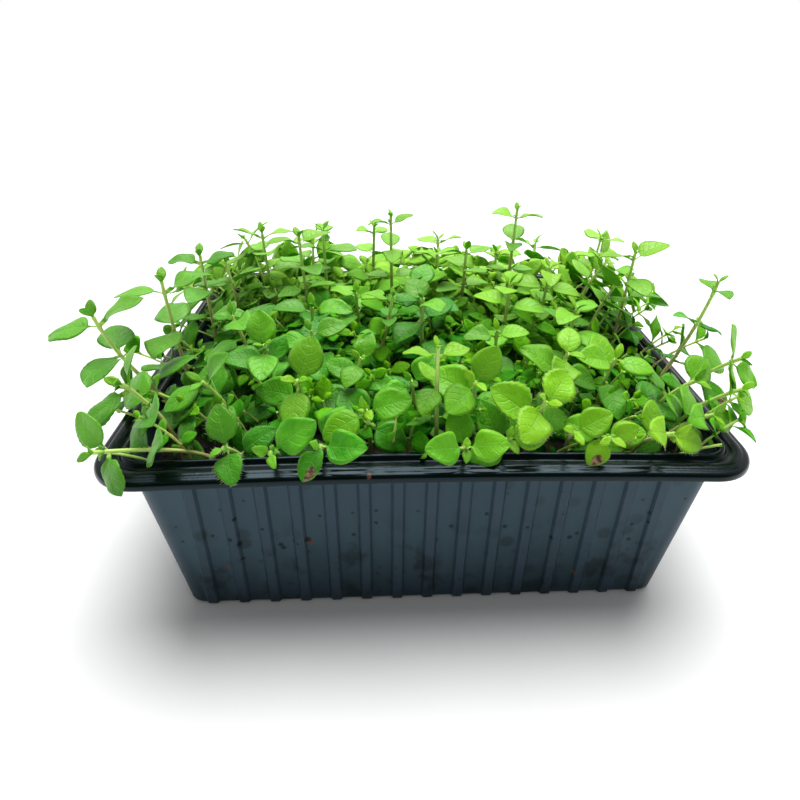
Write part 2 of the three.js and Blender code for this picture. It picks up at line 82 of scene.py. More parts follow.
def camera_directions():
    """The camera's right, its up and its back, from its yaw, pitch and roll."""
    level = Vector((math.cos(CAMERA_YAW), -math.sin(CAMERA_YAW), 0))
    ahead = Vector((math.sin(CAMERA_YAW), math.cos(CAMERA_YAW), 0)) * math.cos(CAMERA_PITCH)
    ahead.z = -math.sin(CAMERA_PITCH)
    above = level.cross(ahead)
    right = level * math.cos(CAMERA_ROLL) + above * math.sin(CAMERA_ROLL)
    return right, right.cross(ahead), -ahead


camera_data = bpy.data.cameras.new("camera")
camera_data.sensor_width = SENSOR
camera_data.lens = SENSOR * FOCAL_SHARE
camera_data.shift_x = SHIFT
camera_data.shift_y = SHIFT
camera_data.clip_start = NEAREST_SEEN
camera = bpy.data.objects.new("camera", camera_data)
camera.matrix_world = Matrix.Translation(CAMERA_PLACE) @ Matrix(camera_directions()).transposed().to_4x4()
scene.collection.objects.link(camera)
scene.camera = camera
print("focal length", round(camera_data.lens, 2), "mm")

# %% [markdown]
# The light is that of a white studio. A broad sun, as wide as a soft box close overhead, stands high and a
# little behind the tray, so that its shadow falls soft and wide to the front. The room around is pure white
# to the eye, and it lights the tray only weakly, or the shadow would wash out. Glossy plastic mirrors it,
# less so towards the front, where a studio is dark.

# %% Floor, sun and room
FLOOR_HALF = 6000
FLOOR_COLOR = (0.93, 0.93, 0.93)
SUN_FROM = (0.08, 0.33, 0.94)
SUN_WIDTH = math.radians(52)
SUN_STRENGTH = 4.2
ROOM_LIGHT = 0.28
ROOM_MIRRORED = 0.6
ROOM_FRONT_MIRRORED = 0.08
ROOM_FRONT_ENDS = (-0.7, 0.1)
ROOM_SEEN = 1.0


def plain_material(name, color, roughness):
    material = bpy.data.materials.new(name)
    material.use_nodes = True
    shader = material.node_tree.nodes["Principled BSDF"]
    shader.inputs["Base Color"].default_value = (*color, 1)
    shader.inputs["Roughness"].default_value = roughness
    return material


def mesh_object(name, points_mm, faces, material=None):
    mesh = bpy.data.meshes.new(name)
    mesh.from_pydata((np.asarray(points_mm, float) * MM).tolist(), [], faces)
    piece = bpy.data.objects.new(name, mesh)
    scene.collection.objects.link(piece)
    if material:
        mesh.materials.append(material)
    return piece


floor_corners = [(x * FLOOR_HALF, y * FLOOR_HALF, 0) for x, y in ((-1, -1), (1, -1), (1, 1), (-1, 1))]
floor = mesh_object("floor", floor_corners, [(0, 1, 2, 3)], plain_material("floor_white", FLOOR_COLOR, 1.0))

sun_data = bpy.data.lights.new("sun", "SUN")
sun_data.angle = SUN_WIDTH
sun_data.energy = SUN_STRENGTH
sun = bpy.data.objects.new("sun", sun_data)
sun.rotation_euler = Vector(SUN_FROM).to_track_quat("Z", "Y").to_euler()
scene.collection.objects.link(sun)

world = bpy.data.worlds.new("white room")
world.use_nodes = True
room = world.node_tree
glow = room.nodes["Background"]
glow.inputs["Color"].default_value = (1, 1, 1, 1)
direction = room.nodes.new("ShaderNodeSeparateXYZ")
room.links.new(room.nodes.new("ShaderNodeTexCoord").outputs["Generated"], direction.inputs[0])


def room_level(share, below, above):
    """A strength that runs from one value to the other as the share runs from its low to its high end."""
    level = room.nodes.new("ShaderNodeMapRange")
    for name, value in (("Value", share), ("To Min", below), ("To Max", above)):
        if isinstance(value, float):
            level.inputs[name].default_value = value
        else:
            room.links.new(value, level.inputs[name])
    return level


from_front = room_level(direction.outputs["Y"], ROOM_FRONT_MIRRORED, ROOM_MIRRORED)
for name, end in zip(("From Min", "From Max"), ROOM_FRONT_ENDS):
    from_front.inputs[name].default_value = end
path_kind = room.nodes.new("ShaderNodeLightPath")
mirrored = room_level(path_kind.outputs["Is Glossy Ray"], ROOM_LIGHT, from_front.outputs[0])
strength = room_level(path_kind.outputs["Is Camera Ray"], mirrored.outputs[0], ROOM_SEEN)
room.links.new(strength.outputs[0], glow.inputs["Strength"])
scene.world = world
print("sun", SUN_STRENGTH, "and room", ROOM_LIGHT)

# %% [markdown]
# The plants follow one rule, the same as in the solids: a stem is a curve from the soil to its tip, and
# leaf pairs stand on it, each pair a quarter turn from the last. Small differences are drawn by a hash of
# the shoot, the leaf and the use of the number, so the same leaf always gets the same draw.

# %% Repeatable draws
WORD = 0xFFFFFFFF
KEY_FACTORS = (0x9E3779B1, 0x85EBCA6B, 0xC2B2AE35)
STIRS = ((15, 0x2C1B3C6D), (12, 0x297A2D39), (15, 1))
YOUTH_USE = 31
TINT_USE = 32
BLUSH_USE = 40
YELLOW_USE = 41
AXIL_USE = 50


def draw(shoot, leaf, use):
    """A number from 0 to 1 that hangs on nothing but the shoot, the leaf and the use."""
    number = 0
    for key, factor in zip((shoot, leaf, use), KEY_FACTORS):
        number ^= (key + 1) * factor & WORD
    for shift, factor in STIRS:
        number ^= number >> shift
        number = number * factor & WORD
    return number / (WORD + 1)


print("first draws:", [round(draw(0, 0, use), 4) for use in range(3)])

# %% [markdown]
# The same sizes drive the solids and the finer pieces, so a dressed leaf lands where its solid is. They are
# in millimetres and degrees. The shoots' places were found in the photograph, one after another,
# because no rule gives where a seed fell.

# %% Sizes of the tray, the soil and the plants
RIM_LENGTH = 190
RIM_WIDTH = 165
RIM_HEIGHT = 58.4
RIM_CROWN = 2.3
RIM_RADIUS = 15.5
FLANGE_WIDTH = 8.4
END_TAPER = 8.8
SIDE_TAPER = 3
SOIL_LEVEL = 48
SOIL_DISH = 2.2
SOIL_BUMP = 0.9
SOIL_SMALL_BUMP = 0.54
SOIL_WAVES = (0.11, 0.13)
SOIL_SMALL_WAVES = (0.27, 0.21)
SOIL_WAVE_START = 1.3
STEM_RADIUS_LOW = 0.85
STEM_RADIUS_TOP = 0.65
STEM_DEPTH = 3.4
COLLAR = 1.2
KNEE = 0.55
UPRIGHT_KNEE = 0.82
UPRIGHT_FROM = 84
PETIOLE_HALF_WIDTH = 0.4
PETIOLE_END = 0.2
PETIOLE_GROWTH = 1.15
OUTLINE_LEAN = 0.75
OUTLINE_ROUND = 0.8
SHORTEN_BY_ARCH = 0.1
ARCH = 0.3
RIPPLES = 9.4
RIPPLE_SKEW = 2
SOLID_BLADE = 0.6
SAME_TIP = 0.05
LEAF_TRIES = 14
SWAY_STEP = 10
NOD_STEP = 8
SHORTEN_STEP = 0.022

# How leaves differ, as the lowest and highest of each measure
TURN_DRIFT = (-12, 12)
OPEN_DRIFT = (-9, 9)
LIGHT_DRIFT = (-0.25, 0.25)
SIZE_DRIFT = (0.92, 1.08)
LEAF_WIDTH = (0.7, 0.86)
LEAF_BEND = (0.6, 1.4)
LEAF_CUP = (-0.15, 0.35)
LEAF_WAVE = (0, 0.05)
RIPPLE_PHASE = (-3.14, 3.14)
LIGHT_HEIGHT = 0.6
STEM_PULL = 0.5
SIDE_LEAN = 0.25
FRONT_LEAN = 0.5

# Leaf pairs from the tip down: distance below the tip, share of the leaf size, angle from the stem
LEAF_PAIRS = [
    {"below": 0.4, "share": 0.36, "open": 28},
    {"below": 2.4, "share": 0.88, "open": 60},
    {"below": 9.5, "share": 1.0, "open": 67},
    {"below": 17, "share": 0.86, "open": 72},
]

# Root x, y; tip x, y, z; turn of the widest pair in degrees; blade length; pairs; how far apart they stand
SHOOTS = [
    [-72, -42, -97, -46, 90, 4, 17, 4, 1.7],
    [-78, -28, -82, -30, 95, 8, 16, 4, 1.9],
    [-76, 0, -79, 2, 93, 0, 14, 4, 1.5],
    [-62, -64, -89, -80, 67, 60, 14, 3, 1],
    [-74, -60, -86, -62, 77, 30, 15, 3, 1],
    [-60, -50, -67, -54, 73, 5, 15, 3, 1],
    [-54, -66, -57, -76, 65, 80, 13, 3, 1],
    [-44, -66, -44, -80, 66, 35, 15, 3, 1],
    [-31, -66, -31, -80, 68, 0, 14, 3, 1],
    [-18, -62, -19, -70, 73, 25, 14, 3, 1],
    [-38, -50, -39, -57, 75, 70, 15, 3, 1],
    [-50, -38, -50, -44, 80, 85, 14, 3, 1],
    [-36, -30, -37, -34, 80, 10, 13, 3, 1],
    [-22, -45, -21, -49, 78, 60, 11, 3, 1],
    [-22, -26, -11, -24, 88, 5, 9, 4, 1],
    [-4, -50, -6, -56, 74, 40, 12, 3, 1],
    [2, -62, 1, -62, 88, 4, 11, 4, 1.4],
    [9, -66, 8, -80, 67, 0, 12, 3, 1],
    [14, -52, 12, -62, 77, 50, 14, 3, 1],
    [20, -66, 20, -76, 67, 30, 14, 3, 1],
    [29, -64, 31, -70, 75, 60, 15, 3, 1],
    [41, -64, 38, -76, 69, 20, 14, 3, 1],
    [51, -62, 48, -78, 68, 80, 13, 3, 1],
    [61, -64, 67, -76, 68, 15, 14, 3, 1],
    [72, -60, 82, -68, 69, 35, 13, 3, 1],
    [70, -50, 80, -57, 74, 80, 15, 3, 1],
    [56, -44, 58, -48, 77, 5, 14, 3, 1],
    [40, -44, 42, -50, 80, 75, 14, 3, 1],
    [24, -30, 23, -32, 79, 5, 12, 3, 1],
    [46, -22, 51, -25, 84, 40, 14, 3, 1],
    [74, -34, 95, -30, 96, 90, 10, 4, 1.9],
    [66, 4, 75, 4, 82, 15, 15, 3, 1],
    [68, 30, 80, 32, 81, 30, 12, 3, 1],
    [30, -6, 32, -4, 85, 65, 14, 4, 1],
    [46, 10, 49, 6, 88, 80, 13, 4, 1],
    [38, 34, 39, 28, 104, 0, 11, 4, 1.6],
    [18, 28, 20, 30, 87, 20, 14, 4, 1],
    [2, 2, -2, 0, 83, 70, 14, 4, 1],
    [-10, 34, -11, 28, 101, 10, 11, 4, 1.6],
    [-20, 54, -18, 52, 90, 45, 11, 4, 1.4],
    [-42, 18, -46, 18, 95, 30, 14, 4, 1.3],
    [-38, 40, -39, 40, 92, 80, 13, 4, 1],
    [-40, -10, -39, -12, 79, 0, 15, 3, 1],
    [-60, 38, -64, 40, 90, 15, 14, 4, 1],
    [76, 2, 80, 4, 94, 0, 16, 4, 1.1],
    [80, -42, 97, -50, 78, 0, 14, 3, 1],
    [78, -54, 92, -62, 74, 5, 13, 3, 1],
]
FILL_SHOOTS = 11
FILL_PLACES = 30
FILL_REACH = (78, 66)
FILL_HEIGHT = (30, 38)
FILL_LEAF = (13, 15)
FILL_SPREAD = 1.08
FILL_LEAN = (-4, 4)
FILL_TURN = (0, 180)

# %% [markdown]
# Roots stand in the soil, so its height comes first. The listed shoots stand where the photograph shows
# one. A few more fill the bare spots: of some random places, the one furthest from all other roots is
# taken. A stem could be a straight stick, but real ones rise and then lean, so each is a curve with one
# knee.

# %% Where the shoots stand
UPWARD = np.array([0.0, 0.0, 1.0])


def unit(vector):
    return vector / np.linalg.norm(vector)


def soil_height(x, y):
    dish = SOIL_DISH * np.maximum((2 * x / RIM_LENGTH) ** 4, (2 * y / RIM_WIDTH) ** 4)
    bumps = SOIL_BUMP * np.sin(SOIL_WAVES[0] * x + SOIL_WAVE_START) * np.cos(SOIL_WAVES[1] * y)
    small_bumps = SOIL_SMALL_BUMP * np.sin(SOIL_SMALL_WAVES[0] * x - SOIL_SMALL_WAVES[1] * y)
    return SOIL_LEVEL - dish + bumps + small_bumps


def drawn(limits, number, leaf, use):
    """A measure between its lowest and highest."""
    return limits[0] + (limits[1] - limits[0]) * draw(number, leaf, use)


def loneliest(number, roots):
    """The one of some random places that is furthest from all roots."""

    def loneliness(place):
        return min(math.dist(place, root) for root in roots)

    best = (0, 0)
    for place in range(FILL_PLACES):
        x, y = (drawn((-reach, reach), number, place, axis) for axis, reach in enumerate(FILL_REACH))
        if loneliness((x, y)) > loneliness(best):
            best = (x, y)
    return best


def fill_shoots():
    roots = [tuple(row[:2]) for row in SHOOTS]
    rows = []
    for number in range(FILL_SHOOTS):
        x, y = loneliest(number, roots)
        roots.append((x, y))
        tip_x = x * FILL_SPREAD + drawn(FILL_LEAN, number, FILL_PLACES, 0)
        tip_y = y * FILL_SPREAD + drawn(FILL_LEAN, number, FILL_PLACES, 1)
        tip_z = soil_height(x, y) + drawn(FILL_HEIGHT, number, FILL_PLACES, 2)
        turn = drawn(FILL_TURN, number, FILL_PLACES, 3)
        size = drawn(FILL_LEAF, number, FILL_PLACES, 4)
        rows.append([x, y, tip_x, tip_y, tip_z, turn, size, len(LEAF_PAIRS), 1])
    return rows


class Shoot:
    """A stem's curve, with the turn, size and spacing of its leaves."""

    def __init__(self, number, row):
        x, y, tip_x, tip_y, tip_z, self.turn, self.size, self.pairs, self.pace = row
        self.number = number
        self.root = np.array([x, y, soil_height(x, y)])
        self.collar = self.root + COLLAR * UPWARD
        self.tip = np.array([tip_x, tip_y, tip_z], float)
        self.upright = tip_z >= UPRIGHT_FROM
        self.knee = self.collar + (UPRIGHT_KNEE if self.upright else 0) * (self.tip - self.collar)
        self.knee[2] = self.collar[2] + KNEE * (tip_z - self.collar[2])
        self.reach = float(np.linalg.norm(self.tip - self.collar))
        self.slim = 1.0
        self.to_front = 0

    def point(self, share):
        return (1 - share) ** 2 * self.collar + 2 * share * (1 - share) * self.knee + share**2 * self.tip

    def tangent(self, share):
        return unit((1 - share) * (self.knee - self.collar) + share * (self.tip - self.knee))


def around_stem(axis):
    """Two directions square to a stem and to each other."""
    ahead = unit(np.cross([0, 1, 0], axis))
    return ahead, np.cross(axis, ahead)


shoots = [Shoot(number, row) for number, row in enumerate(SHOOTS + fill_shoots())]
print(len(shoots), "shoots, the tallest", round(max(shoot.tip[2] for shoot in shoots)), "mm")

# %% [markdown]
# A leaf is a curved plate: its outline widens from a stalk to an egg shape, and the plate arches along its
# length, folds along the midrib and ripples at its edge. The solids bent some leaves aside where they met a
# neighbour, by trying one small turn after another. The try that was taken is found again by comparing the
# leaf's tip with the points of the solid.

# %% Leaves as the solids have them


def leaf_turn(shoot, pair, side):
    """Degrees round the stem: a pair stands a quarter turn from the last, and its two leaves face away."""
    return shoot.turn + 90 * (pair + 1) + 180 * side


def describe_leaf(shoot, pair, side, attempt):
    """One leaf of a shoot, turned and shortened by the number of the try."""
    key = pair * 2 + side
    measures = LEAF_PAIRS[pair]
    sway = (1 if attempt % 2 else -1) * math.ceil(attempt / 2) * SWAY_STEP
    nod = ((attempt + 1) % 3 - 1) * NOD_STEP
    around = leaf_turn(shoot, pair, side) + drawn(TURN_DRIFT, shoot.number, key, 0) + sway
    opening = measures["open"] + drawn(OPEN_DRIFT, shoot.number, key, 1) + nod
    blade = shoot.size * measures["share"] * drawn(SIZE_DRIFT, shoot.number, key, 4)
    blade *= 1 - SHORTEN_STEP * attempt
    return leaf_at(shoot, measures["below"] * shoot.pace, around, opening, blade, key)


def leaf_at(shoot, below, around_degrees, open_degrees, blade, key):
    """A leaf at a distance below the shoot's tip: its place, its directions and its measures."""
    where = max(0, 1 - below / shoot.reach)
    root = shoot.point(where)
    lean = np.array([SIDE_LEAN * 2 * root[0] / RIM_LENGTH, FRONT_LEAN * min(0, 2 * root[1] / RIM_WIDTH), 0])
    lean *= 0 if shoot.upright else 1
    axis = unit(shoot.tangent(where) + lean)
    ahead, aside = around_stem(axis)
    around, opening = math.radians(around_degrees), math.radians(open_degrees)
    outward = math.cos(around) * ahead + math.sin(around) * aside
    along = math.cos(opening) * axis + math.sin(opening) * outward
    light = np.array([drawn(LIGHT_DRIFT, shoot.number, key, use) for use in (2, 3)] + [LIGHT_HEIGHT])
    light = light + lean + STEM_PULL * axis - shoot.to_front * np.array([0, 1, 0])
    up = unit(light - np.dot(light, along) * along)
    leaf = {"root": root, "along": along, "across": np.cross(up, along), "up": up,
            "length": blade * PETIOLE_GROWTH, "width": blade * drawn(LEAF_WIDTH, shoot.number, key, 5)}
    for use, (name, limits) in enumerate((("bend", LEAF_BEND), ("cup", LEAF_CUP), ("wave", LEAF_WAVE),
                                          ("phase", RIPPLE_PHASE)), 6):
        leaf[name] = drawn(limits, shoot.number, key, use)
    return leaf


def half_width(leaf, u):
    """Half the blade's width at a share of its length."""
    t = np.clip((u - PETIOLE_END) / (1 - PETIOLE_END), 0, 1)
    blade = 0.5 * leaf["width"] * np.abs(np.sin(math.pi * t**OUTLINE_LEAN)) ** OUTLINE_ROUND
    return np.where(u < 0.5, np.maximum(PETIOLE_HALF_WIDTH, blade), blade)


def leaf_surface(leaf, u, v):
    """Distance along, across and up of the middle of the blade."""
    w = v * half_width(leaf, u)
    run = leaf["length"] * (u - SHORTEN_BY_ARCH * leaf["bend"] * u * u)
    arch = -ARCH * leaf["bend"] * leaf["length"] * u * u
    fold = leaf["cup"] * w * w / (0.5 * leaf["width"])
    ripple = leaf["wave"] * leaf["length"] * np.abs(v) * np.sin(RIPPLES * u + leaf["phase"] + RIPPLE_SKEW * v)
    return run, w, arch + fold + ripple


def leaf_tip(leaf, lift=0.0):
    """The tip of the middle of the blade, or a point that is lifted off it."""
    run, _, rise = leaf_surface(leaf, np.array(1.0), np.array(0.0))
    return leaf["root"] + leaf["along"] * run + leaf["up"] * (rise + lift)


def node_name(shoot):
    return f"shoot_{shoot.number + 1:02d}"


def standing_leaves(shoot):
    """The leaves that the shoot's solid really has, each as the first try whose tip is found there."""
    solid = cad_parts[node_name(shoot)].data
    points = np.array([vertex.co for vertex in solid.vertices]) / MM
    found = []
    for pair in range(shoot.pairs):
        for side in (0, 1):
            for attempt in range(LEAF_TRIES):
                leaf = describe_leaf(shoot, pair, side, attempt)
                if np.min(np.linalg.norm(points - leaf_tip(leaf, SOLID_BLADE / 2), axis=1)) < SAME_TIP:
                    leaf.update(pair=pair, key=pair * 2 + side)
                    found.append(leaf)
                    break
    return found


leaves_of = {shoot.number: standing_leaves(shoot) for shoot in shoots}
print("leaves matched with the solids:", sum(len(found) for found in leaves_of.values()),
      "of", sum(2 * shoot.pairs for shoot in shoots))

# %% [markdown]
# Two kinds of node tree follow: Geometry Nodes that grow meshes, and shader nodes that colour them. Both
# share their Math nodes, so one small class lets a tree be written as a formula: every plus or times adds a
# node.

# %% Formulas for node trees


class Field:
    """A node's output. Plain operators on it add Math nodes to its tree."""

    def __init__(self, tree, output):
        self.tree = tree
        self.output = output

    def math(self, operation, *others):
        node = self.tree.nodes.new("ShaderNodeMath")
        node.operation = operation
        for value, socket in zip((self, *others), node.inputs):
            plug(value, socket)
        return Field(self.tree, node.outputs[0])

    def vector(self, operation, other, result=0):
        node = self.tree.nodes.new("ShaderNodeVectorMath")
        node.operation = operation
        plug(self, node.inputs[0])
        plug(other, node.inputs["Scale"] if operation == "SCALE" else node.inputs[1])
        return Field(self.tree, node.outputs[result])

    def beside(self, name):
        """Another output of the same node."""
        return Field(self.tree, self.output.node.outputs[name])

    def __add__(self, other):
        return self.math("ADD", other)

    def __sub__(self, other):
        return self.math("SUBTRACT", other)

    def __mul__(self, other):
        return self.math("MULTIPLY", other)

    def __truediv__(self, other):
        return self.math("DIVIDE", other)

    def __pow__(self, other):
        return self.math("POWER", other)

    def __lt__(self, other):
        return self.math("LESS_THAN", other)

    def __gt__(self, other):
        return self.math("GREATER_THAN", other)

    __radd__ = __add__
    __rmul__ = __mul__

    def __rsub__(self, other):
        return self * -1 + other


def plug(value, socket):
    if isinstance(value, Field):
        value.tree.links.new(value.output, socket)
    else:
        socket.default_value = value


def add_node(tree, kind, sockets=None, **settings):
    """A node with its settings and its inputs, as the field of its first output."""
    node = tree.nodes.new(kind)
    for name, value in settings.items():
        setattr(node, name, value)
    for name, value in (sockets or {}).items():
        plug(value, node.inputs[name])
    return Field(tree, node.outputs[0])


def parts_of(vector):
    """The x, y and z of a vector."""
    x = add_node(vector.tree, "ShaderNodeSeparateXYZ", {"Vector": vector})
    return x, x.beside("Y"), x.beside("Z")


def ramp(value, low, high, smooth=True):
    """0 below low, 1 above high."""
    kind = "SMOOTHSTEP" if smooth else "LINEAR"
    return add_node(value.tree, "ShaderNodeMapRange", {"Value": value, "From Min": low, "From Max": high},
                    interpolation_type=kind)


def blend(tree, share, first, second):
    """The first colour where the share is 0, the second where it is 1."""
    node = tree.nodes.new("ShaderNodeMix")
    node.data_type = "RGBA"
    for value, name in ((share, "Factor_Float"), (first, "A_Color"), (second, "B_Color")):
        socket = next(one for one in node.inputs if one.identifier == name)
        plug((*value, 1) if isinstance(value, tuple) else value, socket)
    return Field(tree, next(one for one in node.outputs if one.identifier == "Result_Color"))


def new_tree(name, kind, inputs, outputs):
    """A node group with named sockets: its tree, its inputs as fields, and the node of its outputs."""
    tree = bpy.data.node_groups.new(name, kind)
    for names, direction in ((inputs, "INPUT"), (outputs, "OUTPUT")):
        for socket_name, socket_kind in names.items():
            tree.interface.new_socket(socket_name, in_out=direction, socket_type=f"NodeSocket{socket_kind}")
    source = tree.nodes.new("NodeGroupInput")
    target = tree.nodes.new("NodeGroupOutput")
    return tree, {name: Field(tree, source.outputs[name]) for name in inputs}, target


def attribute(tree, name, kind="FLOAT"):
    return add_node(tree, "GeometryNodeInputNamedAttribute", {"Name": name}, data_type=kind)


def joined(tree, *parts):
    node = tree.nodes.new("GeometryNodeJoinGeometry")
    for part in parts:
        plug(part, node.inputs[0])
    return Field(tree, node.outputs[0])


def finish_tree(tree, geometry, finish, target):
    """Real meshes with a finish, since the export drops instances."""
    real = add_node(tree, "GeometryNodeRealizeInstances", {"Geometry": geometry})
    finished = add_node(tree, "GeometryNodeSetMaterial", {"Geometry": real, "Material": finish})
    plug(finished, target.inputs["Geometry"])


def grown(piece, tree, inputs, name):
    """The object that the tree makes of a piece, as a plain mesh; the piece it grew from is removed."""
    modifier = piece.modifiers.new("grow", "NODES")
    modifier.node_group = tree
    sockets = {item.name: item.identifier for item in tree.interface.items_tree if item.in_out == "INPUT"}
    for socket_name, value in inputs.items():
        modifier[sockets[socket_name]] = value
    depsgraph = bpy.context.evaluated_depsgraph_get()
    mesh = bpy.data.meshes.new_from_object(piece.evaluated_get(depsgraph), preserve_all_data_layers=True,
                                           depsgraph=depsgraph)
    bpy.data.objects.remove(piece)
    mesh.name = name
    mesh.polygons.foreach_set("use_smooth", np.ones(len(mesh.polygons), bool))
    result = bpy.data.objects.new(name, mesh)
    scene.collection.objects.link(result)
    return result


def set_attribute(mesh, name, values):
    values = np.asarray(values, float)
    kind, field = ("FLOAT_VECTOR", "vector") if values.ndim == 2 else ("FLOAT", "value")
    mesh.attributes.new(name, kind, "POINT").data.foreach_set(field, values.ravel())


def triangles(piece):
    return sum(len(face.vertices) - 2 for face in piece.data.polygons)


# %% [markdown]
# Plastic first. One shader group draws what dried water leaves behind: round spots of mixed size, each in a
# cell of its own, and only in some of the cells. It puts out a mask only, so the plastic can use it twice,
# for fine and for coarse spots.

# %% Shader groups
SMALLEST_SPOT = 0.04


def make_spots_group():
    tree, inputs, target = new_tree("dried spots", "ShaderNodeTree",
                                    {"Vector": "Vector", "Pitch": "Float", "Size": "Float", "Share": "Float"},
                                    {"Spots": "Float"})
    cells = tree.nodes.new("ShaderNodeTexVoronoi")
    plug(inputs["Vector"], cells.inputs["Vector"])
    plug(inputs["Pitch"] ** -1.0, cells.inputs["Scale"])
    distance = Field(tree, cells.outputs["Distance"])
    lottery = add_node(tree, "ShaderNodeSeparateXYZ", {"Vector": Field(tree, cells.outputs["Color"])})
    wanted = lottery < inputs["Share"]
    size = lottery.beside("Y") * inputs["Size"] + SMALLEST_SPOT
    spot = (1 - ramp(distance / size, 0.5, 1.0)) * wanted
    plug(spot, target.inputs["Spots"])
    return tree


def group_node(tree, group, **sockets):
    node = tree.nodes.new("ShaderNodeGroup")
    node.node_tree = group
    for name, value in sockets.items():
        plug(value, node.inputs[name])
    return Field(tree, node.outputs[0])


spots_group = make_spots_group()


def new_material(name):
    material = bpy.data.materials.new(name)
    material.use_nodes = True
    tree = material.node_tree
    return material, tree, tree.nodes["Principled BSDF"]


def noise(tree, vector, scale, detail=3.0, roughness=0.55):
    return add_node(tree, "ShaderNodeTexNoise",
                    {"Vector": vector, "Scale": scale, "Detail": detail, "Roughness": roughness})


def object_place(tree):
    return Field(tree, tree.nodes.new("ShaderNodeTexCoord").outputs["Object"])


def shader_attribute(tree, name, result="Fac"):
    node = tree.nodes.new("ShaderNodeAttribute")
    node.attribute_name = name
    return Field(tree, node.outputs[result])


def bump(tree, height, strength, distance):
    return add_node(tree, "ShaderNodeBump", {"Height": height, "Strength": strength, "Distance": distance})


# %% [markdown]
# The tray's plastic is a dark slate colour, satin on the wall and glossier on the rim, whose colour is
# painted nearly black as painted shade for the dark reflections on it. Its colours lie in layers, from the
# wall's colour, darker towards the bottom, through painted shade at each rib's foot and a painted highlight
# on each rib's far edge, to single spots of rust. The masks for the ribs and the rim come with the mesh, as
# attributes, because only what makes the mesh knows where a rib ends.

# %% Slate plastic
WALL_COLOR = (0.036, 0.062, 0.082)
WALL_LOW_COLOR = (0.016, 0.033, 0.044)
# Painted shade: the rim is the same plastic as the wall, painted nearly black for the dark reflections on it
RIM_PAINTED_SHADE_COLOR = (0.0012, 0.0030, 0.0028)
CREST_COLOR = (0.030, 0.044, 0.068)
# Painted highlight on the far edge of each rib
PAINTED_EDGE_HIGHLIGHT_COLOR = (0.060, 0.110, 0.140)
# Dried spots, and the painted shade at each rib's foot
SPOT_AND_SHADE_COLOR = (0.003, 0.008, 0.009)
RUST_COLOR = (0.10, 0.038, 0.024)
MARK_COLOR = (0.002, 0.004, 0.005)
CREST_SHARE = 0.35
EDGE_HIGHLIGHT_SHARE = 0.5
RIB_FOOT_SHADE_SHARE = 0.45
BAND_SHARE = 0.8
WALL_ROUGHNESS = 0.48
RIM_SMOOTHER = 0.28
PLASTIC_GLOSS = 0.3
PLASTIC_GLOSS_TINT = (0.5, 0.75, 0.85)

# Heights on the wall, in metres, between which a mark fades in or out
WALL_TINT_ENDS = (0.016, 0.050)
LOW_ENDS = (0.012, 0.045)
BAND_FOOT_ENDS = (0.021, 0.026)
BAND_TOP_ENDS = (0.032, 0.046)

# Marks that the photograph shows one by one: x, y, z and radius, in millimetres. Distance counts less in y,
# so a mark isn't cut where the wall leans.
RUST_SPOTS = [(-62.3, -72.0, 16.9, 1.0), (47.7, -71.7, 10.8, 0.9), (-36.7, -72.6, 27.2, 1.5),
              (-18.0, -82.5, 59.4, 0.8)]
DARK_SPOTS = [(-58.0, -73.1, 37.8, 0.9), (-60.3, -72.7, 29.6, 1.0), (-57.6, -72.5, 27.4, 1.1),
              (-57.4, -72.2, 20.8, 0.8), (-37.2, -72.6, 28.2, 1.3), (-65.4, -72.7, 30.6, 0.6),
              (-40.3, -72.5, 27.2, 0.6)]
SPOT_DEPTH_SHARE = 0.2
SPOT_RAGGED = 0.0007


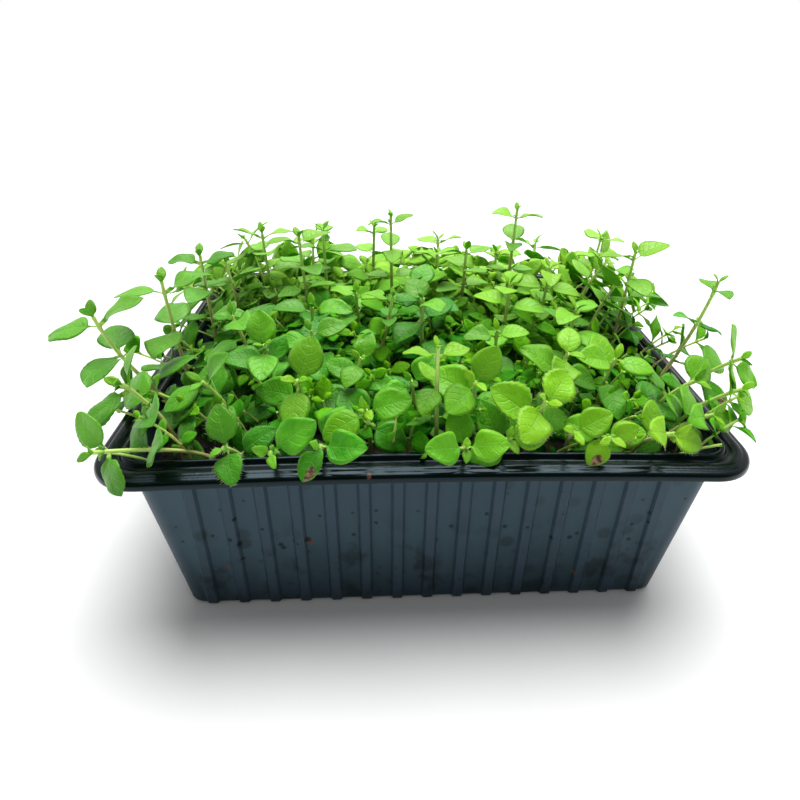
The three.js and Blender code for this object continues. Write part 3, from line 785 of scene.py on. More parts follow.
def make_slate_plastic():
    material, tree, shader = new_material("slate_plastic")
    place = object_place(tree)
    height = parts_of(place)[2]
    masks = ("crest", "lit_edge", "seam", "rim")
    crest, lit_edge, seam, rim = (shader_attribute(tree, name) for name in masks)
    fine = group_node(tree, spots_group, Vector=place, Pitch=0.0042, Size=0.26, Share=0.55)
    coarse = group_node(tree, spots_group, Vector=place, Pitch=0.010, Size=0.36, Share=0.5)
    low = 1 - ramp(height, *LOW_ENDS)
    smudge = ramp(noise(tree, place, 90.0, 4.0), 0.52, 0.66) * low
    band = ramp(height, *BAND_FOOT_ENDS) * (1 - ramp(height, *BAND_TOP_ENDS) * 0.8)
    spots = (fine * (0.35 + 0.6 * band)).math("MAXIMUM", coarse * (0.3 + 0.45 * low))
    spots = spots.math("MAXIMUM", smudge * 0.75)

    clouded_height = height + noise(tree, place, 45.0) * 0.03
    color = blend(tree, ramp(clouded_height, *WALL_TINT_ENDS), WALL_LOW_COLOR, WALL_COLOR)
    # Of these layers, the lit edge is a painted highlight, the seam is painted shade at the rib's foot, and
    # the rim's near black is painted shade
    layers = [(crest * CREST_SHARE, CREST_COLOR), (lit_edge * EDGE_HIGHLIGHT_SHARE, PAINTED_EDGE_HIGHLIGHT_COLOR),
              (seam * RIB_FOOT_SHADE_SHARE, SPOT_AND_SHADE_COLOR), (spots, SPOT_AND_SHADE_COLOR), (fine * band * BAND_SHARE, MARK_COLOR),
              (rim, RIM_PAINTED_SHADE_COLOR)]
    flat = place.vector("MULTIPLY", (1, SPOT_DEPTH_SHARE, 1))
    ragged = (noise(tree, place, 900.0) - 0.5) * SPOT_RAGGED
    for marks, mark_color in ((RUST_SPOTS, RUST_COLOR), (DARK_SPOTS, MARK_COLOR)):
        for x, y, z, radius in marks:
            centre = (x * MM, SPOT_DEPTH_SHARE * y * MM, z * MM)
            distance = flat.vector("DISTANCE", centre, result=1) + ragged
            layers.append((1 - ramp(distance, 0.5 * radius * MM, radius * MM), mark_color))
    for mask, layer_color in layers:
        color = blend(tree, mask, color, layer_color)
    plug(color, shader.inputs["Base Color"])

    scuffs = (noise(tree, place, 160.0) - 0.5) * 0.08
    plug(WALL_ROUGHNESS - rim * RIM_SMOOTHER + scuffs - spots * 0.1, shader.inputs["Roughness"])
    grain = noise(tree, place, 1400.0, 2.0)
    plug(bump(tree, grain - spots * 0.5, 0.25, 0.0001), shader.inputs["Normal"])
    shader.inputs["Specular IOR Level"].default_value = PLASTIC_GLOSS
    shader.inputs["Specular Tint"].default_value = (*PLASTIC_GLOSS_TINT, 1)
    return material


slate_plastic = make_slate_plastic()
print("plastic nodes:", len(slate_plastic.node_tree.nodes))

# %% [markdown]
# The real tray is one sheet of plastic, drawn down into a mould: flat floor, leaning walls with upright
# ribs, and a wide rim whose edge turns down. Its section is the same all round, so the mesh is a stack of
# closed rings, from the middle of the underside out, up the wall, round the rim and down inside. The rings
# carry no ribs yet.

# %% Rings of the tray
SHEET = 0.9
BASE_BEVEL = 1.5
BASE_RADIUS = 6
RIB_PITCH = 9.9
RIB_FOOT = 4
RIB_CREST = 2.6
RIB_PROUD = 0.9
RIBS_EACH_WAY_FRONT = 7
RIBS_EACH_WAY_END = 6
CORNER_STEPS = 12
FLOOR_INSET = 4
BEVEL_STEPS = 4
WALL_STEPS = 8

# Where a rib needs points, along the side from the middle of the rib
RIB_STATIONS = [-4.95, -2.25, -2.0, -1.65, -1.3, -1.05, 0, 1.05, 1.3, 1.65, 2.0, 2.25]

# The rim's section from the top of the wall out to the lip and back in: inset from the edge, drop below the
# rim's height
RIM_SECTION = [
    (7.6, 1.5), (4.5, 1.5), (2.2, 1.6), (1.5, 1.9), (1.15, 2.4), (0.9, 3.0), (0.65, 3.2), (0.2, 3.2),
    (0.03, 3.1), (0.0, 2.9), (0.0, 2.3), (0.1, 1.75), (0.35, 1.25), (0.75, 0.92), (1.2, 0.75), (1.7, 0.66),
    (2.2, 0.62), (2.45, 0.5), (2.8, 0.3), (3.5, 0.22), (4.9, 0.24), (5.4, 0.48), (5.85, 0.85), (6.3, 0.98),
    (6.8, 0.8), (7.1, 0.3), (7.4, -0.2), (7.7, -0.44), (8.1, -0.5), (8.5, -0.44), (8.9, -0.1), (9.2, 0.5),
]


def side_stations(each_way):
    """Distances along a side from its middle, with so many ribs each way."""
    reach = each_way * RIB_PITCH + RIB_STATIONS[-1]
    stations = [i * RIB_PITCH + s for i in range(-each_way, each_way + 1) for s in RIB_STATIONS]
    return [s for s in stations if abs(s) <= reach]


def rounded_rectangle(half_x, half_y, radius):
    """Points, outward directions and distances along the side; corners have no distance, so no ribs."""
    sides = [(side_stations(RIBS_EACH_WAY_FRONT), half_x, half_y),
             (side_stations(RIBS_EACH_WAY_END), half_y, half_x)]
    points, outward, along, on_side = [], [], [], []
    for quarter in range(4):
        stations, length, distance = sides[quarter % 2]
        turn = quarter * math.pi / 2
        ahead = np.array([math.cos(turn), math.sin(turn)])
        out = np.array([math.sin(turn), -math.cos(turn)])
        for s in stations:
            points.append(ahead * s + out * distance)
            outward.append(out)
            along.append(s)
            on_side.append(1)
        centre = ahead * (length - radius) + out * (distance - radius)
        for step in range(CORNER_STEPS + 1):
            angle = math.pi / 2 * step / CORNER_STEPS
            way = out * math.cos(angle) + ahead * math.sin(angle)
            points.append(centre + way * radius)
            outward.append(way)
            along.append(0)
            on_side.append(0)
    return np.array(points), np.array(outward), np.array(along), np.array(on_side)


def bow(points):
    """The soft rim bows: its long edges rise towards the middle, and the walls follow in proportion."""
    x, z = points[:, 0], points[:, 2]
    rise = RIM_CROWN * (1 - (2 * x / RIM_LENGTH) ** 2) * z / RIM_HEIGHT
    return points + np.outer(rise, UPWARD)


def wall_ring(share, offset, height):
    """A ring of the wall at a share of its height, shifted in by an offset."""
    inset_x = FLANGE_WIDTH + END_TAPER * (1 - share) + offset
    inset_y = FLANGE_WIDTH + SIDE_TAPER * (1 - share) + offset
    radius = BASE_RADIUS + (RIM_RADIUS - FLANGE_WIDTH - BASE_RADIUS) * share
    return {"inset": (inset_x, inset_y), "radius": max(0.6, radius - offset), "z": height, "ribbed": 1}


def tray_rings():
    """Every ring in order: underside, bevel, wall, rim, then the inner wall down to the floor."""
    under_rim = RIM_HEIGHT - RIM_SECTION[0][1]
    rings = [wall_ring(0, BASE_BEVEL + FLOOR_INSET, 0), wall_ring(0, BASE_BEVEL + 0.6, 0)]
    for step in range(BEVEL_STEPS + 1):
        angle = math.pi / 2 * step / BEVEL_STEPS
        rings.append(wall_ring(0, BASE_BEVEL * (1 - math.sin(angle)), BASE_BEVEL * (1 - math.cos(angle))))
    for step in range(1, WALL_STEPS + 1):
        share = step / WALL_STEPS
        rings.append(wall_ring(share, 0, BASE_BEVEL + (under_rim - BASE_BEVEL) * share))
    for inset, drop in RIM_SECTION:
        radius = max(1.0, RIM_RADIUS - inset)
        rings.append({"inset": (inset, inset), "radius": radius, "z": RIM_HEIGHT - drop, "ribbed": 0})
    for step in range(WALL_STEPS, -1, -1):
        share = step / WALL_STEPS
        rings.append(wall_ring(share, SHEET, SHEET + BASE_BEVEL + (under_rim - BASE_BEVEL - 2) * share))
    rings += [wall_ring(0, SHEET + 0.5, SHEET + 0.5), wall_ring(0, SHEET + BASE_BEVEL, SHEET),
              wall_ring(0, BASE_BEVEL + FLOOR_INSET, SHEET)]
    return rings


def close_rings(points, rings, ring_size):
    """Quads between the rings, with the first and last closed by a fan to their middle."""
    faces = []
    for low in range(rings - 1):
        for i in range(ring_size):
            j = (i + 1) % ring_size
            a, b = low * ring_size, (low + 1) * ring_size
            faces.append((a + i, a + j, b + j, b + i))
    first, last = len(points), len(points) + 1
    top = (rings - 1) * ring_size
    for i in range(ring_size):
        j = (i + 1) % ring_size
        faces.append((first, j, i))
        faces.append((last, top + i, top + j))
    return faces


def make_tray_blank():
    """The closed shell of the tray, with what its ribs and its finish need to know at each point."""
    rings = tray_rings()
    columns = {"points": [], "outward": [], "along": [], "ribbed": [], "rim": []}
    for ring in rings:
        half_x, half_y = RIM_LENGTH / 2 - ring["inset"][0], RIM_WIDTH / 2 - ring["inset"][1]
        flat, out, distance, on_side = rounded_rectangle(half_x, half_y, ring["radius"])
        columns["points"].append(np.column_stack([flat, np.full(len(flat), ring["z"])]))
        columns["outward"].append(np.column_stack([out, np.zeros(len(out))]))
        columns["along"].append(distance * MM)
        columns["ribbed"].append(on_side * ring["ribbed"])
        columns["rim"].append(np.full(len(flat), 1 - ring["ribbed"]))
    ring_size = len(columns["points"][0])
    points = np.vstack(columns.pop("points"))
    faces = close_rings(points, len(rings), ring_size)
    centres = np.array([[0, 0, rings[0]["z"]], [0, 0, rings[-1]["z"]]])
    piece = mesh_object("tray_blank", bow(np.vstack([points, centres])), faces)
    for name, values in columns.items():
        at_centres = np.zeros((2, 3)) if name == "outward" else np.zeros(2)
        set_attribute(piece.data, name, np.concatenate([*values, at_centres]))
    return piece


tray_blank = make_tray_blank()
print("tray rings give", len(tray_blank.data.vertices), "points")

# %% [markdown]
# Ribs repeat, so Geometry Nodes push them out: the distance along the side is wrapped to one pitch, and a
# smooth step between the rib's foot and its crest says how far each point moves. The same distances mark
# the crests, the far edges that get a painted highlight and the foot, where painted shade goes, and the
# plastic reads them.

# %% Ribs
EDGE_HIGHLIGHT_ENDS = (0.01, 0.05)
RIB_FOOT_SHADE_ENDS = (0.005, 0.03)
MIDDLE_ENDS = (0.02, 0.08)
SHARP_FROM = math.radians(50)


def make_rib_tree():
    tree, inputs, target = new_tree(
        "wall ribs", "GeometryNodeTree",
        {"Geometry": "Geometry", "Pitch": "Float", "Foot": "Float", "Crest": "Float", "Proud": "Float",
         "Finish": "Material"}, {"Geometry": "Geometry"})
    along, ribbed = attribute(tree, "along"), attribute(tree, "ribbed")
    pitch, foot = inputs["Pitch"], inputs["Foot"] * 0.5
    beside_rib = along.math("WRAP", pitch * 0.5, pitch * -0.5)
    from_rib = beside_rib.math("ABSOLUTE")
    crest = 1 - ramp(from_rib, inputs["Crest"] * 0.5, foot)
    outer_edge = (beside_rib - along.math("SIGN") * foot).math("ABSOLUTE")
    past_middle = ramp(along.math("ABSOLUTE"), *MIDDLE_ENDS)
    # A painted highlight on the rib's far edge, past the middle of the side, and painted shade at the rib's
    # foot
    painted_highlight = (1 - ramp(outer_edge, *(pitch * end for end in EDGE_HIGHLIGHT_ENDS))) * past_middle
    seam = (1 - ramp((from_rib - foot).math("ABSOLUTE"), *(pitch * end for end in RIB_FOOT_SHADE_ENDS))) * (1 - painted_highlight)
    push = attribute(tree, "outward", "FLOAT_VECTOR").vector("SCALE", crest * ribbed * inputs["Proud"])
    shell = add_node(tree, "GeometryNodeSetPosition", {"Geometry": inputs["Geometry"], "Offset": push})
    for name, mask in (("crest", crest), ("lit_edge", painted_highlight), ("seam", seam)):
        shell = add_node(tree, "GeometryNodeStoreNamedAttribute",
                         {"Geometry": shell, "Name": name, "Value": mask * ribbed},
                         data_type="FLOAT", domain="POINT")
    finish_tree(tree, shell, inputs["Finish"], target)
    return tree


tray_shell = grown(tray_blank, make_rib_tree(),
                   {"Pitch": RIB_PITCH * MM, "Foot": RIB_FOOT * MM, "Crest": RIB_CREST * MM,
                    "Proud": RIB_PROUD * MM, "Finish": slate_plastic}, "tray_shell")
tray_shell.data.set_sharp_from_angle(angle=SHARP_FROM)
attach(tray_shell, "root")
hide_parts("tray")
print("tray_shell:", triangles(tray_shell), "triangles")

# %% [markdown]
# Soil is loose and crumbly. A fine sheet follows the same gentle hills as the solid, noise roughens it, and
# Geometry Nodes scatter crumbs over it.

# %% Soil
SOIL_SINK = 1.6
SOIL_TAPER_SHARE = 0.17
SOIL_SKIRT = (0.985, 36.0)
SOIL_ROUND = 25
SOIL_EDGE_STEP = 4
SOIL_ROUGHNESS = 1.6
SOIL_DAMP = (0.010, 0.007, 0.005)
SOIL_DRY = (0.055, 0.036, 0.022)
CRUMBS_PER_SQUARE_METRE = 9e4
CRUMB_RADIUS = 0.55
CRUMB_SMALLEST = (0.5, 0.5, 0.3)
CRUMB_LARGEST = (1.7, 1.2, 1.1)
CRUMB_PLACE_SEED = 5
CRUMB_SIZE_SEED = 3


def make_dark_soil():
    material, tree, shader = new_material("dark_soil")
    place = object_place(tree)
    damp = noise(tree, place, 120.0, 5.0)
    plug(blend(tree, ramp(damp, 0.35, 0.7), SOIL_DAMP, SOIL_DRY), shader.inputs["Base Color"])
    plug(0.95 - damp * 0.25, shader.inputs["Roughness"])
    plug(bump(tree, noise(tree, place, 900.0, 5.0), 0.8, 0.0006), shader.inputs["Normal"])
    return material


def make_soil_blank():
    """Rings from a rounded rectangle in to the middle, with a skirt that goes down along the wall."""
    half_x = RIM_LENGTH / 2 - FLANGE_WIDTH - SOIL_SINK - END_TAPER * SOIL_TAPER_SHARE
    half_y = RIM_WIDTH / 2 - FLANGE_WIDTH - SOIL_SINK - SIDE_TAPER * SOIL_TAPER_SHARE
    edge = rounded_rectangle(half_x, half_y, BASE_RADIUS)[0][::SOIL_EDGE_STEP]
    skirt_share, skirt_foot = SOIL_SKIRT
    rings = [np.column_stack([edge * skirt_share, np.full(len(edge), skirt_foot)])]
    for step in range(SOIL_ROUND):
        flat = edge * (1 - step / SOIL_ROUND)
        rings.append(np.column_stack([flat, soil_height(flat[:, 0], flat[:, 1])]))
    points = np.vstack(rings)
    faces = close_rings(points, len(rings), len(edge))
    centres = [[0, 0, skirt_foot], [0, 0, soil_height(0, 0)]]
    return mesh_object("soil_blank", np.vstack([points, centres]), faces)


def make_crumb_tree():
    tree, inputs, target = new_tree("soil crumbs", "GeometryNodeTree",
                                    {"Geometry": "Geometry", "Roughness": "Float", "Crumb radius": "Float",
                                     "Density": "Float", "Seed": "Int", "Finish": "Material"},
                                    {"Geometry": "Geometry"})
    lumps = add_node(tree, "ShaderNodeTexNoise", {"Scale": 260.0, "Detail": 4.0})
    lift = add_node(tree, "ShaderNodeCombineXYZ", {"Z": (lumps - 0.5) * inputs["Roughness"]})
    ground = add_node(tree, "GeometryNodeSetPosition", {"Geometry": inputs["Geometry"], "Offset": lift})
    facing_up = parts_of(add_node(tree, "GeometryNodeInputNormal"))[2] > 0.5
    scatter = add_node(tree, "GeometryNodeDistributePointsOnFaces",
                       {"Mesh": ground, "Selection": facing_up, "Density": inputs["Density"],
                        "Seed": inputs["Seed"]})
    crumb = add_node(tree, "GeometryNodeMeshIcoSphere", {"Radius": inputs["Crumb radius"], "Subdivisions": 1})
    size = add_node(tree, "FunctionNodeRandomValue",
                    {"Min": CRUMB_SMALLEST, "Max": CRUMB_LARGEST, "Seed": CRUMB_SIZE_SEED},
                    data_type="FLOAT_VECTOR")
    crumbs = add_node(tree, "GeometryNodeInstanceOnPoints",
                      {"Points": scatter, "Instance": crumb, "Rotation": scatter.beside("Rotation"),
                       "Scale": size})
    finish_tree(tree, joined(tree, crumbs, ground), inputs["Finish"], target)
    return tree


soil_bed = grown(make_soil_blank(), make_crumb_tree(),
                 {"Roughness": SOIL_ROUGHNESS * MM, "Crumb radius": CRUMB_RADIUS * MM,
                  "Density": CRUMBS_PER_SQUARE_METRE, "Seed": CRUMB_PLACE_SEED, "Finish": make_dark_soil()},
                 "soil_bed")
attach(soil_bed, "root")
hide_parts("soil")
print("soil_bed:", triangles(soil_bed), "triangles")

# %% [markdown]
# Leaves. A young herb leaf is bright green with a pale bloom on top, duller beneath, yellow-green while it
# is young, and it lets light through. One flat green would look like paper, so the colour is laid on in
# layers, each with a mask. Some layers are painted light: leaves low in the canopy get painted shade, and
# leaves at the back are painted paler, as if lit through from behind. The veins are drawn in the leaf's own
# coordinates, which every blade carries as an attribute: x from stalk to tip, y from edge to edge, z above
# or below.

# %% Leaf and stem finishes
# Painted shade on leaves low in the canopy
LEAF_PAINTED_SHADE = (0.003, 0.150, 0.001)
LEAF_DEEP = (0.006, 0.220, 0.001)
LEAF_FRESH = (0.060, 0.420, 0.003)
LEAF_YOUNG = (0.350, 0.700, 0.008)
LEAF_BLOOM = (0.150, 0.570, 0.018)
LEAF_OLIVE = (0.200, 0.360, 0.040)
# Painted light: the pale glow of leaves at the back, as if lit through from behind
LEAF_BACKLIT_GLOW = (0.440, 0.820, 0.120)
LEAF_HAZE = (0.420, 0.740, 0.240)
LEAF_UNDER = (0.090, 0.420, 0.012)
LEAF_VEIN = (0.180, 0.500, 0.050)
SCORCH_DARK = (0.060, 0.026, 0.012)
SCORCH_LIGHT = (0.330, 0.215, 0.120)
STEM_LOW = (0.520, 0.420, 0.170)
STEM_HIGH = (0.580, 0.820, 0.180)
HAIR_COLOR = (0.62, 0.72, 0.45)
HAIR_TIP_COLOR = (0.8, 0.85, 0.7)
LEAF_GLOSS_TINT = (0.85, 1.0, 0.65)
SHEEN_SHARE = 0.7
VEIN_PAIRS = 4.6


def make_vein_group():
    tree, inputs, target = new_tree("leaf veins", "ShaderNodeTree", {"Place": "Vector", "Pairs": "Float"},
                                    {"Midrib": "Float", "Veins": "Float"})
    along, across, _ = parts_of(inputs["Place"])
    side = across.math("ABSOLUTE")
    midrib = 1 - ramp(side, 0.02, 0.075 - along * 0.045)
    slant = (along * inputs["Pairs"] * 1.25 - side * 1.15 - side * side * 0.45).math("FRACT")
    near = (slant - 0.5).math("ABSOLUTE")
    veins = (1 - ramp(near, 0.02, 0.14)) * (1 - side * 0.65) * ramp(along, 0.14, 0.2)
    plug(midrib, target.inputs["Midrib"])
    plug(veins, target.inputs["Veins"])
    return tree


vein_group = make_vein_group()

# Where a mask fades in: places in metres, and shares of the leaf along it and across its thickness
BACK_ENDS = (-0.01, 0.07)
LEFT_ENDS = (-0.09, -0.02)
LIT_ENDS = (0.050, 0.072)
UNDER_ENDS = (-0.6, -0.1)
STALK_ENDS = (0.1, 0.17)
SCORCH_PLACE = (0.78, 0.22)
SCORCH_ENDS = (0.2, 0.27)


def make_leaf_green(name, depth_of_shade, gloss):
    material, tree, shader = new_material(name)
    place, spot = shader_attribute(tree, "place", "Vector"), object_place(tree)
    along, across, face = parts_of(place)
    from_left, depth, height = parts_of(spot)
    youth, tint, scorch = (shader_attribute(tree, name) for name in ("youth", "tint", "scorch"))
    midrib = group_node(tree, vein_group, Place=place, Pairs=VEIN_PAIRS)
    veins = midrib.beside("Veins")
    cloud = noise(tree, spot, 220.0)
    # Painted light: leaves at the back are painted paler, with more bloom and less shade, as if lit through
    # from behind
    behind = ramp(depth, *BACK_ENDS)
    bloom = ramp(cloud + (tint - 0.5) * 0.6 + behind * 0.12, 0.42, 0.75)
    # Painted shade on leaves low in the canopy, less of it at the back
    shade = (1 - ramp(height, *LIT_ENDS)) * (1 - behind * 0.8)
    under = 1 - ramp(face, *UNDER_ENDS)
    reach = ((along - SCORCH_PLACE[0]) ** 2.0 + (across * 0.5 - SCORCH_PLACE[1]) ** 2.0).math("SQRT")
    burnt = 1 - ramp(reach + (noise(tree, spot, 600.0) - 0.5) * 0.2, *SCORCH_ENDS)
    brown = blend(tree, ramp(noise(tree, spot, 900.0, 4.0), 0.4, 0.62), SCORCH_DARK, SCORCH_LIGHT)

    green = blend(tree, tint, LEAF_DEEP, LEAF_FRESH)
    for mask, layer_color in (
            (bloom * (0.5 + behind * 0.3), LEAF_BLOOM),
            (youth, LEAF_YOUNG),
            (behind * 0.5, LEAF_BACKLIT_GLOW),
            ((1 - ramp(from_left, *LEFT_ENDS)) * 0.3, LEAF_OLIVE),
            (shade * depth_of_shade, LEAF_PAINTED_SHADE),
            ((midrib * 0.35).math("MAXIMUM", veins * 0.12), LEAF_VEIN),
            (under * 0.75 * (1 - youth * 0.6), LEAF_UNDER),
            ((1 - ramp(along, *STALK_ENDS)) * 0.7, STEM_HIGH),
            (burnt * scorch, brown)):
        green = blend(tree, mask, green, layer_color)
    plug(green, shader.inputs["Base Color"])

    plug(0.44 + (cloud - 0.5) * 0.55 + under * 0.15, shader.inputs["Roughness"])
    pebbles = noise(tree, spot, 1300.0, 2.0) * 0.8 + noise(tree, spot, 520.0, 2.0)
    relief = pebbles - (veins * 0.5).math("MAXIMUM", midrib * 0.6)
    plug(bump(tree, relief, 0.7, 0.0003), shader.inputs["Normal"])
    let_light_through(shader, 0.32, 0.0006, (0.6, 1.0, 0.10))
    shader.inputs["Specular IOR Level"].default_value = gloss
    shader.inputs["Sheen Weight"].default_value = gloss * SHEEN_SHARE
    shader.inputs["Sheen Roughness"].default_value = 0.5
    shader.inputs["Sheen Tint"].default_value = (*LEAF_HAZE, 1)
    shader.inputs["Specular Tint"].default_value = (*LEAF_GLOSS_TINT, 1)
    return material


def let_light_through(shader, weight, depth, color):
    """Light enters, spreads to a depth in metres and comes out in a colour."""
    shader.inputs["Subsurface Weight"].default_value = weight
    shader.inputs["Subsurface Scale"].default_value = depth
    shader.inputs["Subsurface Radius"].default_value = color


def make_stem_skin():
    material, tree, shader = new_material("stem_skin")
    spot = object_place(tree)
    streak = noise(tree, spot, 400.0)
    share, blush = (shader_attribute(tree, name) for name in ("share", "blush"))
    ripe = ramp(share + (streak - 0.5) * 0.5 - blush * 0.55, -0.2, 0.5)
    plug(blend(tree, ripe, STEM_LOW, STEM_HIGH), shader.inputs["Base Color"])
    plug(0.45 + (streak - 0.5) * 0.2, shader.inputs["Roughness"])
    plug(bump(tree, noise(tree, spot, 1500.0, 2.0), 0.3, 0.0001), shader.inputs["Normal"])
    let_light_through(shader, 0.25, 0.0008, (0.9, 0.8, 0.3))
    return material


def make_hair_white():
    material, tree, shader = new_material("hair_white")
    tip = shader_attribute(tree, "share")
    plug(blend(tree, tip, HAIR_COLOR, HAIR_TIP_COLOR), shader.inputs["Base Color"])
    shader.inputs["Roughness"].default_value = 0.4
    return material


leaf_green = make_leaf_green("leaf_green", 0.8, 0.42)
# The undergrowth's copy lays the painted shade on at full depth
young_leaf_green = make_leaf_green("young_leaf_green", 1.0, 0.08)
stem_skin = make_stem_skin()
hair_white = make_hair_white()
print("leaf nodes:", len(leaf_green.node_tree.nodes))

# %% [markdown]
# One flat leaf blank serves all leaves of a kind. It is a closed double sheet on a grid, and its points
# hold only where they belong on a leaf. The growing tree gives each copy its outline, arch, fold and ripple
# by formula.

# %% Leaf blanks
BLANK_GRIDS = {"fine": (28, 8), "plain": (9, 4), "small": (6, 2)}


def make_leaf_blank(name, rows, columns):
    """Two grids that share their edge: u is 0 to 1 along, v is -1 to 1 across, face is 1 above, -1 below."""
    points, index, notch = [], {}, []
    for face in (1, -1):
        for row in range(rows):
            u = 0.5 - 0.5 * math.cos(math.pi * row / rows)
            for column in range(columns + 1):
                edge = row == 0 or column in (0, columns)
                if face < 0 and edge:
                    index[face, row, column] = index[1, row, column]
                    continue
                index[face, row, column] = len(points)
                points.append((u, 2 * column / columns - 1, 0 if edge else face))
                notch.append(1 if row % 2 else -1)
    tip = len(points)
    points.append((1, 0, 0))
    notch.append(0)
    faces = []
    for face in (1, -1):
        for row in range(rows):
            for column in range(columns):
                corners = [(row, column), (row + 1, column), (row + 1, column + 1), (row, column + 1)]
                loop = list(dict.fromkeys(tip if r == rows else index[face, r, c] for r, c in corners))
                faces.append(loop if face > 0 else loop[::-1])
    piece = mesh_object(name, np.array(points), faces)
    set_attribute(piece.data, "place", points)
    set_attribute(piece.data, "notch", notch)
    return piece


blanks = {kind: make_leaf_blank("leaf_blank_" + kind, *grid) for kind, grid in BLANK_GRIDS.items()}
for blank in blanks.values():
    print(blank.name, triangles(blank), "triangles")

# %% [markdown]
# The growing tree takes a skeleton: edges for the stems, and a loose point for each leaf, with every
# measure of the leaf as an attribute of that point. It sweeps a round section along the edges, sets a blank
# on each loose point, bends it by formula, plants fine hairs on the stems and sets bristles on the edges of
# the most toothed leaves.

# %% The growing tree
LEAF_SHAPE = ["length", "width", "bend", "cup", "wave", "phase", "tooth"]
LEAF_MEASURES = [*LEAF_SHAPE, "youth", "tint", "scorch", "kind"]
LEAF_VECTORS = ["root", "along_leaf", "across_leaf", "up_leaf"]
LEAF_THICK = 0.3
ROUND_EDGE = 0.62
LEAF_TRIM = 0.94
LEAF_REACH = 0.98
CREASE = 0.012
STALK_HALF_WIDTH = 0.3
TEETH_START = (0.1, 0.3)
TEETH_STOP = (0.9, 1.0)
CREASE_ACROSS = (0.0, 0.3)
CREASE_ALONG = (0.0, 0.15)
BRISTLY_FROM = 0.03
BRISTLE_EDGE = 0.99
BRISTLE_SLANT = 0.6
BRISTLE_GROWTH = 1.5
HAIR_SLIM = 0.05
HAIR_SPREAD = {"Min": 0.5, "Max": 1.25}


def leaf_formula(tree, thick, stalk):
    """Where a point of the blank lies on its leaf, the same outline and bends as in the solids."""
    u, v, face = parts_of(attribute(tree, "place", "FLOAT_VECTOR"))
    length, width, bend, cup, wave, phase, tooth = (attribute(tree, name) for name in LEAF_SHAPE)
    root, along, across, up = (attribute(tree, name, "FLOAT_VECTOR") for name in LEAF_VECTORS)
    t = ramp(u, PETIOLE_END, 1.0, smooth=False)
    outline = ((t ** OUTLINE_LEAN) * math.pi).math("SINE").math("ABSOLUTE") ** ROUND_EDGE
    blade = width * (0.5 * LEAF_TRIM) * outline
    teeth = 1 + tooth * attribute(tree, "notch") * ramp(t, *TEETH_START) * (1 - ramp(t, *TEETH_STOP))
    half = (blade * teeth).math("MAXIMUM", (u < 0.5) * stalk)
    w = v * half
    run = length * LEAF_REACH * (u - bend * u * u * SHORTEN_BY_ARCH)
    arch = bend * length * u * u * -ARCH
    fold = cup * w * w / (width * 0.5)
    ripple = wave * length * v.math("ABSOLUTE") * (u * RIPPLES + phase + v * RIPPLE_SKEW).math("SINE")
    crease = ramp(v.math("ABSOLUTE"), *CREASE_ACROSS) * CREASE * length * ramp(t, *CREASE_ALONG)
    rise = arch + fold + ripple + crease + face * thick * 0.5
    point = root
    for direction, distance in ((along, run), (across, w), (up, rise)):
        point = point.vector("ADD", direction.vector("SCALE", distance))
    return point


def hairs_and_bristles(tree, inputs, tube, leaves):
    """Hairs all over the stems, and longer ones on the edges of the most toothed leaves."""
    scatter = add_node(tree, "GeometryNodeDistributePointsOnFaces",
                       {"Mesh": tube, "Density": inputs["Hair density"], "Seed": inputs["Seed"]})
    hair = add_node(tree, "GeometryNodeMeshCone",
                    {"Vertices": 3, "Radius Bottom": inputs["Hair length"] * HAIR_SLIM,
                     "Depth": inputs["Hair length"]})
    size = add_node(tree, "FunctionNodeRandomValue", {**HAIR_SPREAD, "Seed": inputs["Seed"]}).beside(1)
    hairs = add_node(tree, "GeometryNodeInstanceOnPoints",
                     {"Points": scatter, "Instance": hair, "Rotation": scatter.beside("Rotation"),
                      "Scale": size})
    u, v, _ = parts_of(attribute(tree, "place", "FLOAT_VECTOR"))
    at_edge = v.math("ABSOLUTE") > BRISTLE_EDGE
    bristly = at_edge * (attribute(tree, "tooth") > BRISTLY_FROM) * (u > PETIOLE_END)
    along, across = (attribute(tree, name, "FLOAT_VECTOR") for name in LEAF_VECTORS[1:3])
    aslant = across.vector("SCALE", v).vector("ADD", along.vector("SCALE", BRISTLE_SLANT))
    lean = add_node(tree, "FunctionNodeAlignRotationToVector", {"Vector": aslant}, axis="Z")
    bristles = add_node(tree, "GeometryNodeInstanceOnPoints",
                        {"Points": leaves, "Selection": bristly, "Instance": hair, "Rotation": lean,
                         "Scale": size * BRISTLE_GROWTH})
    return joined(tree, hairs, bristles)


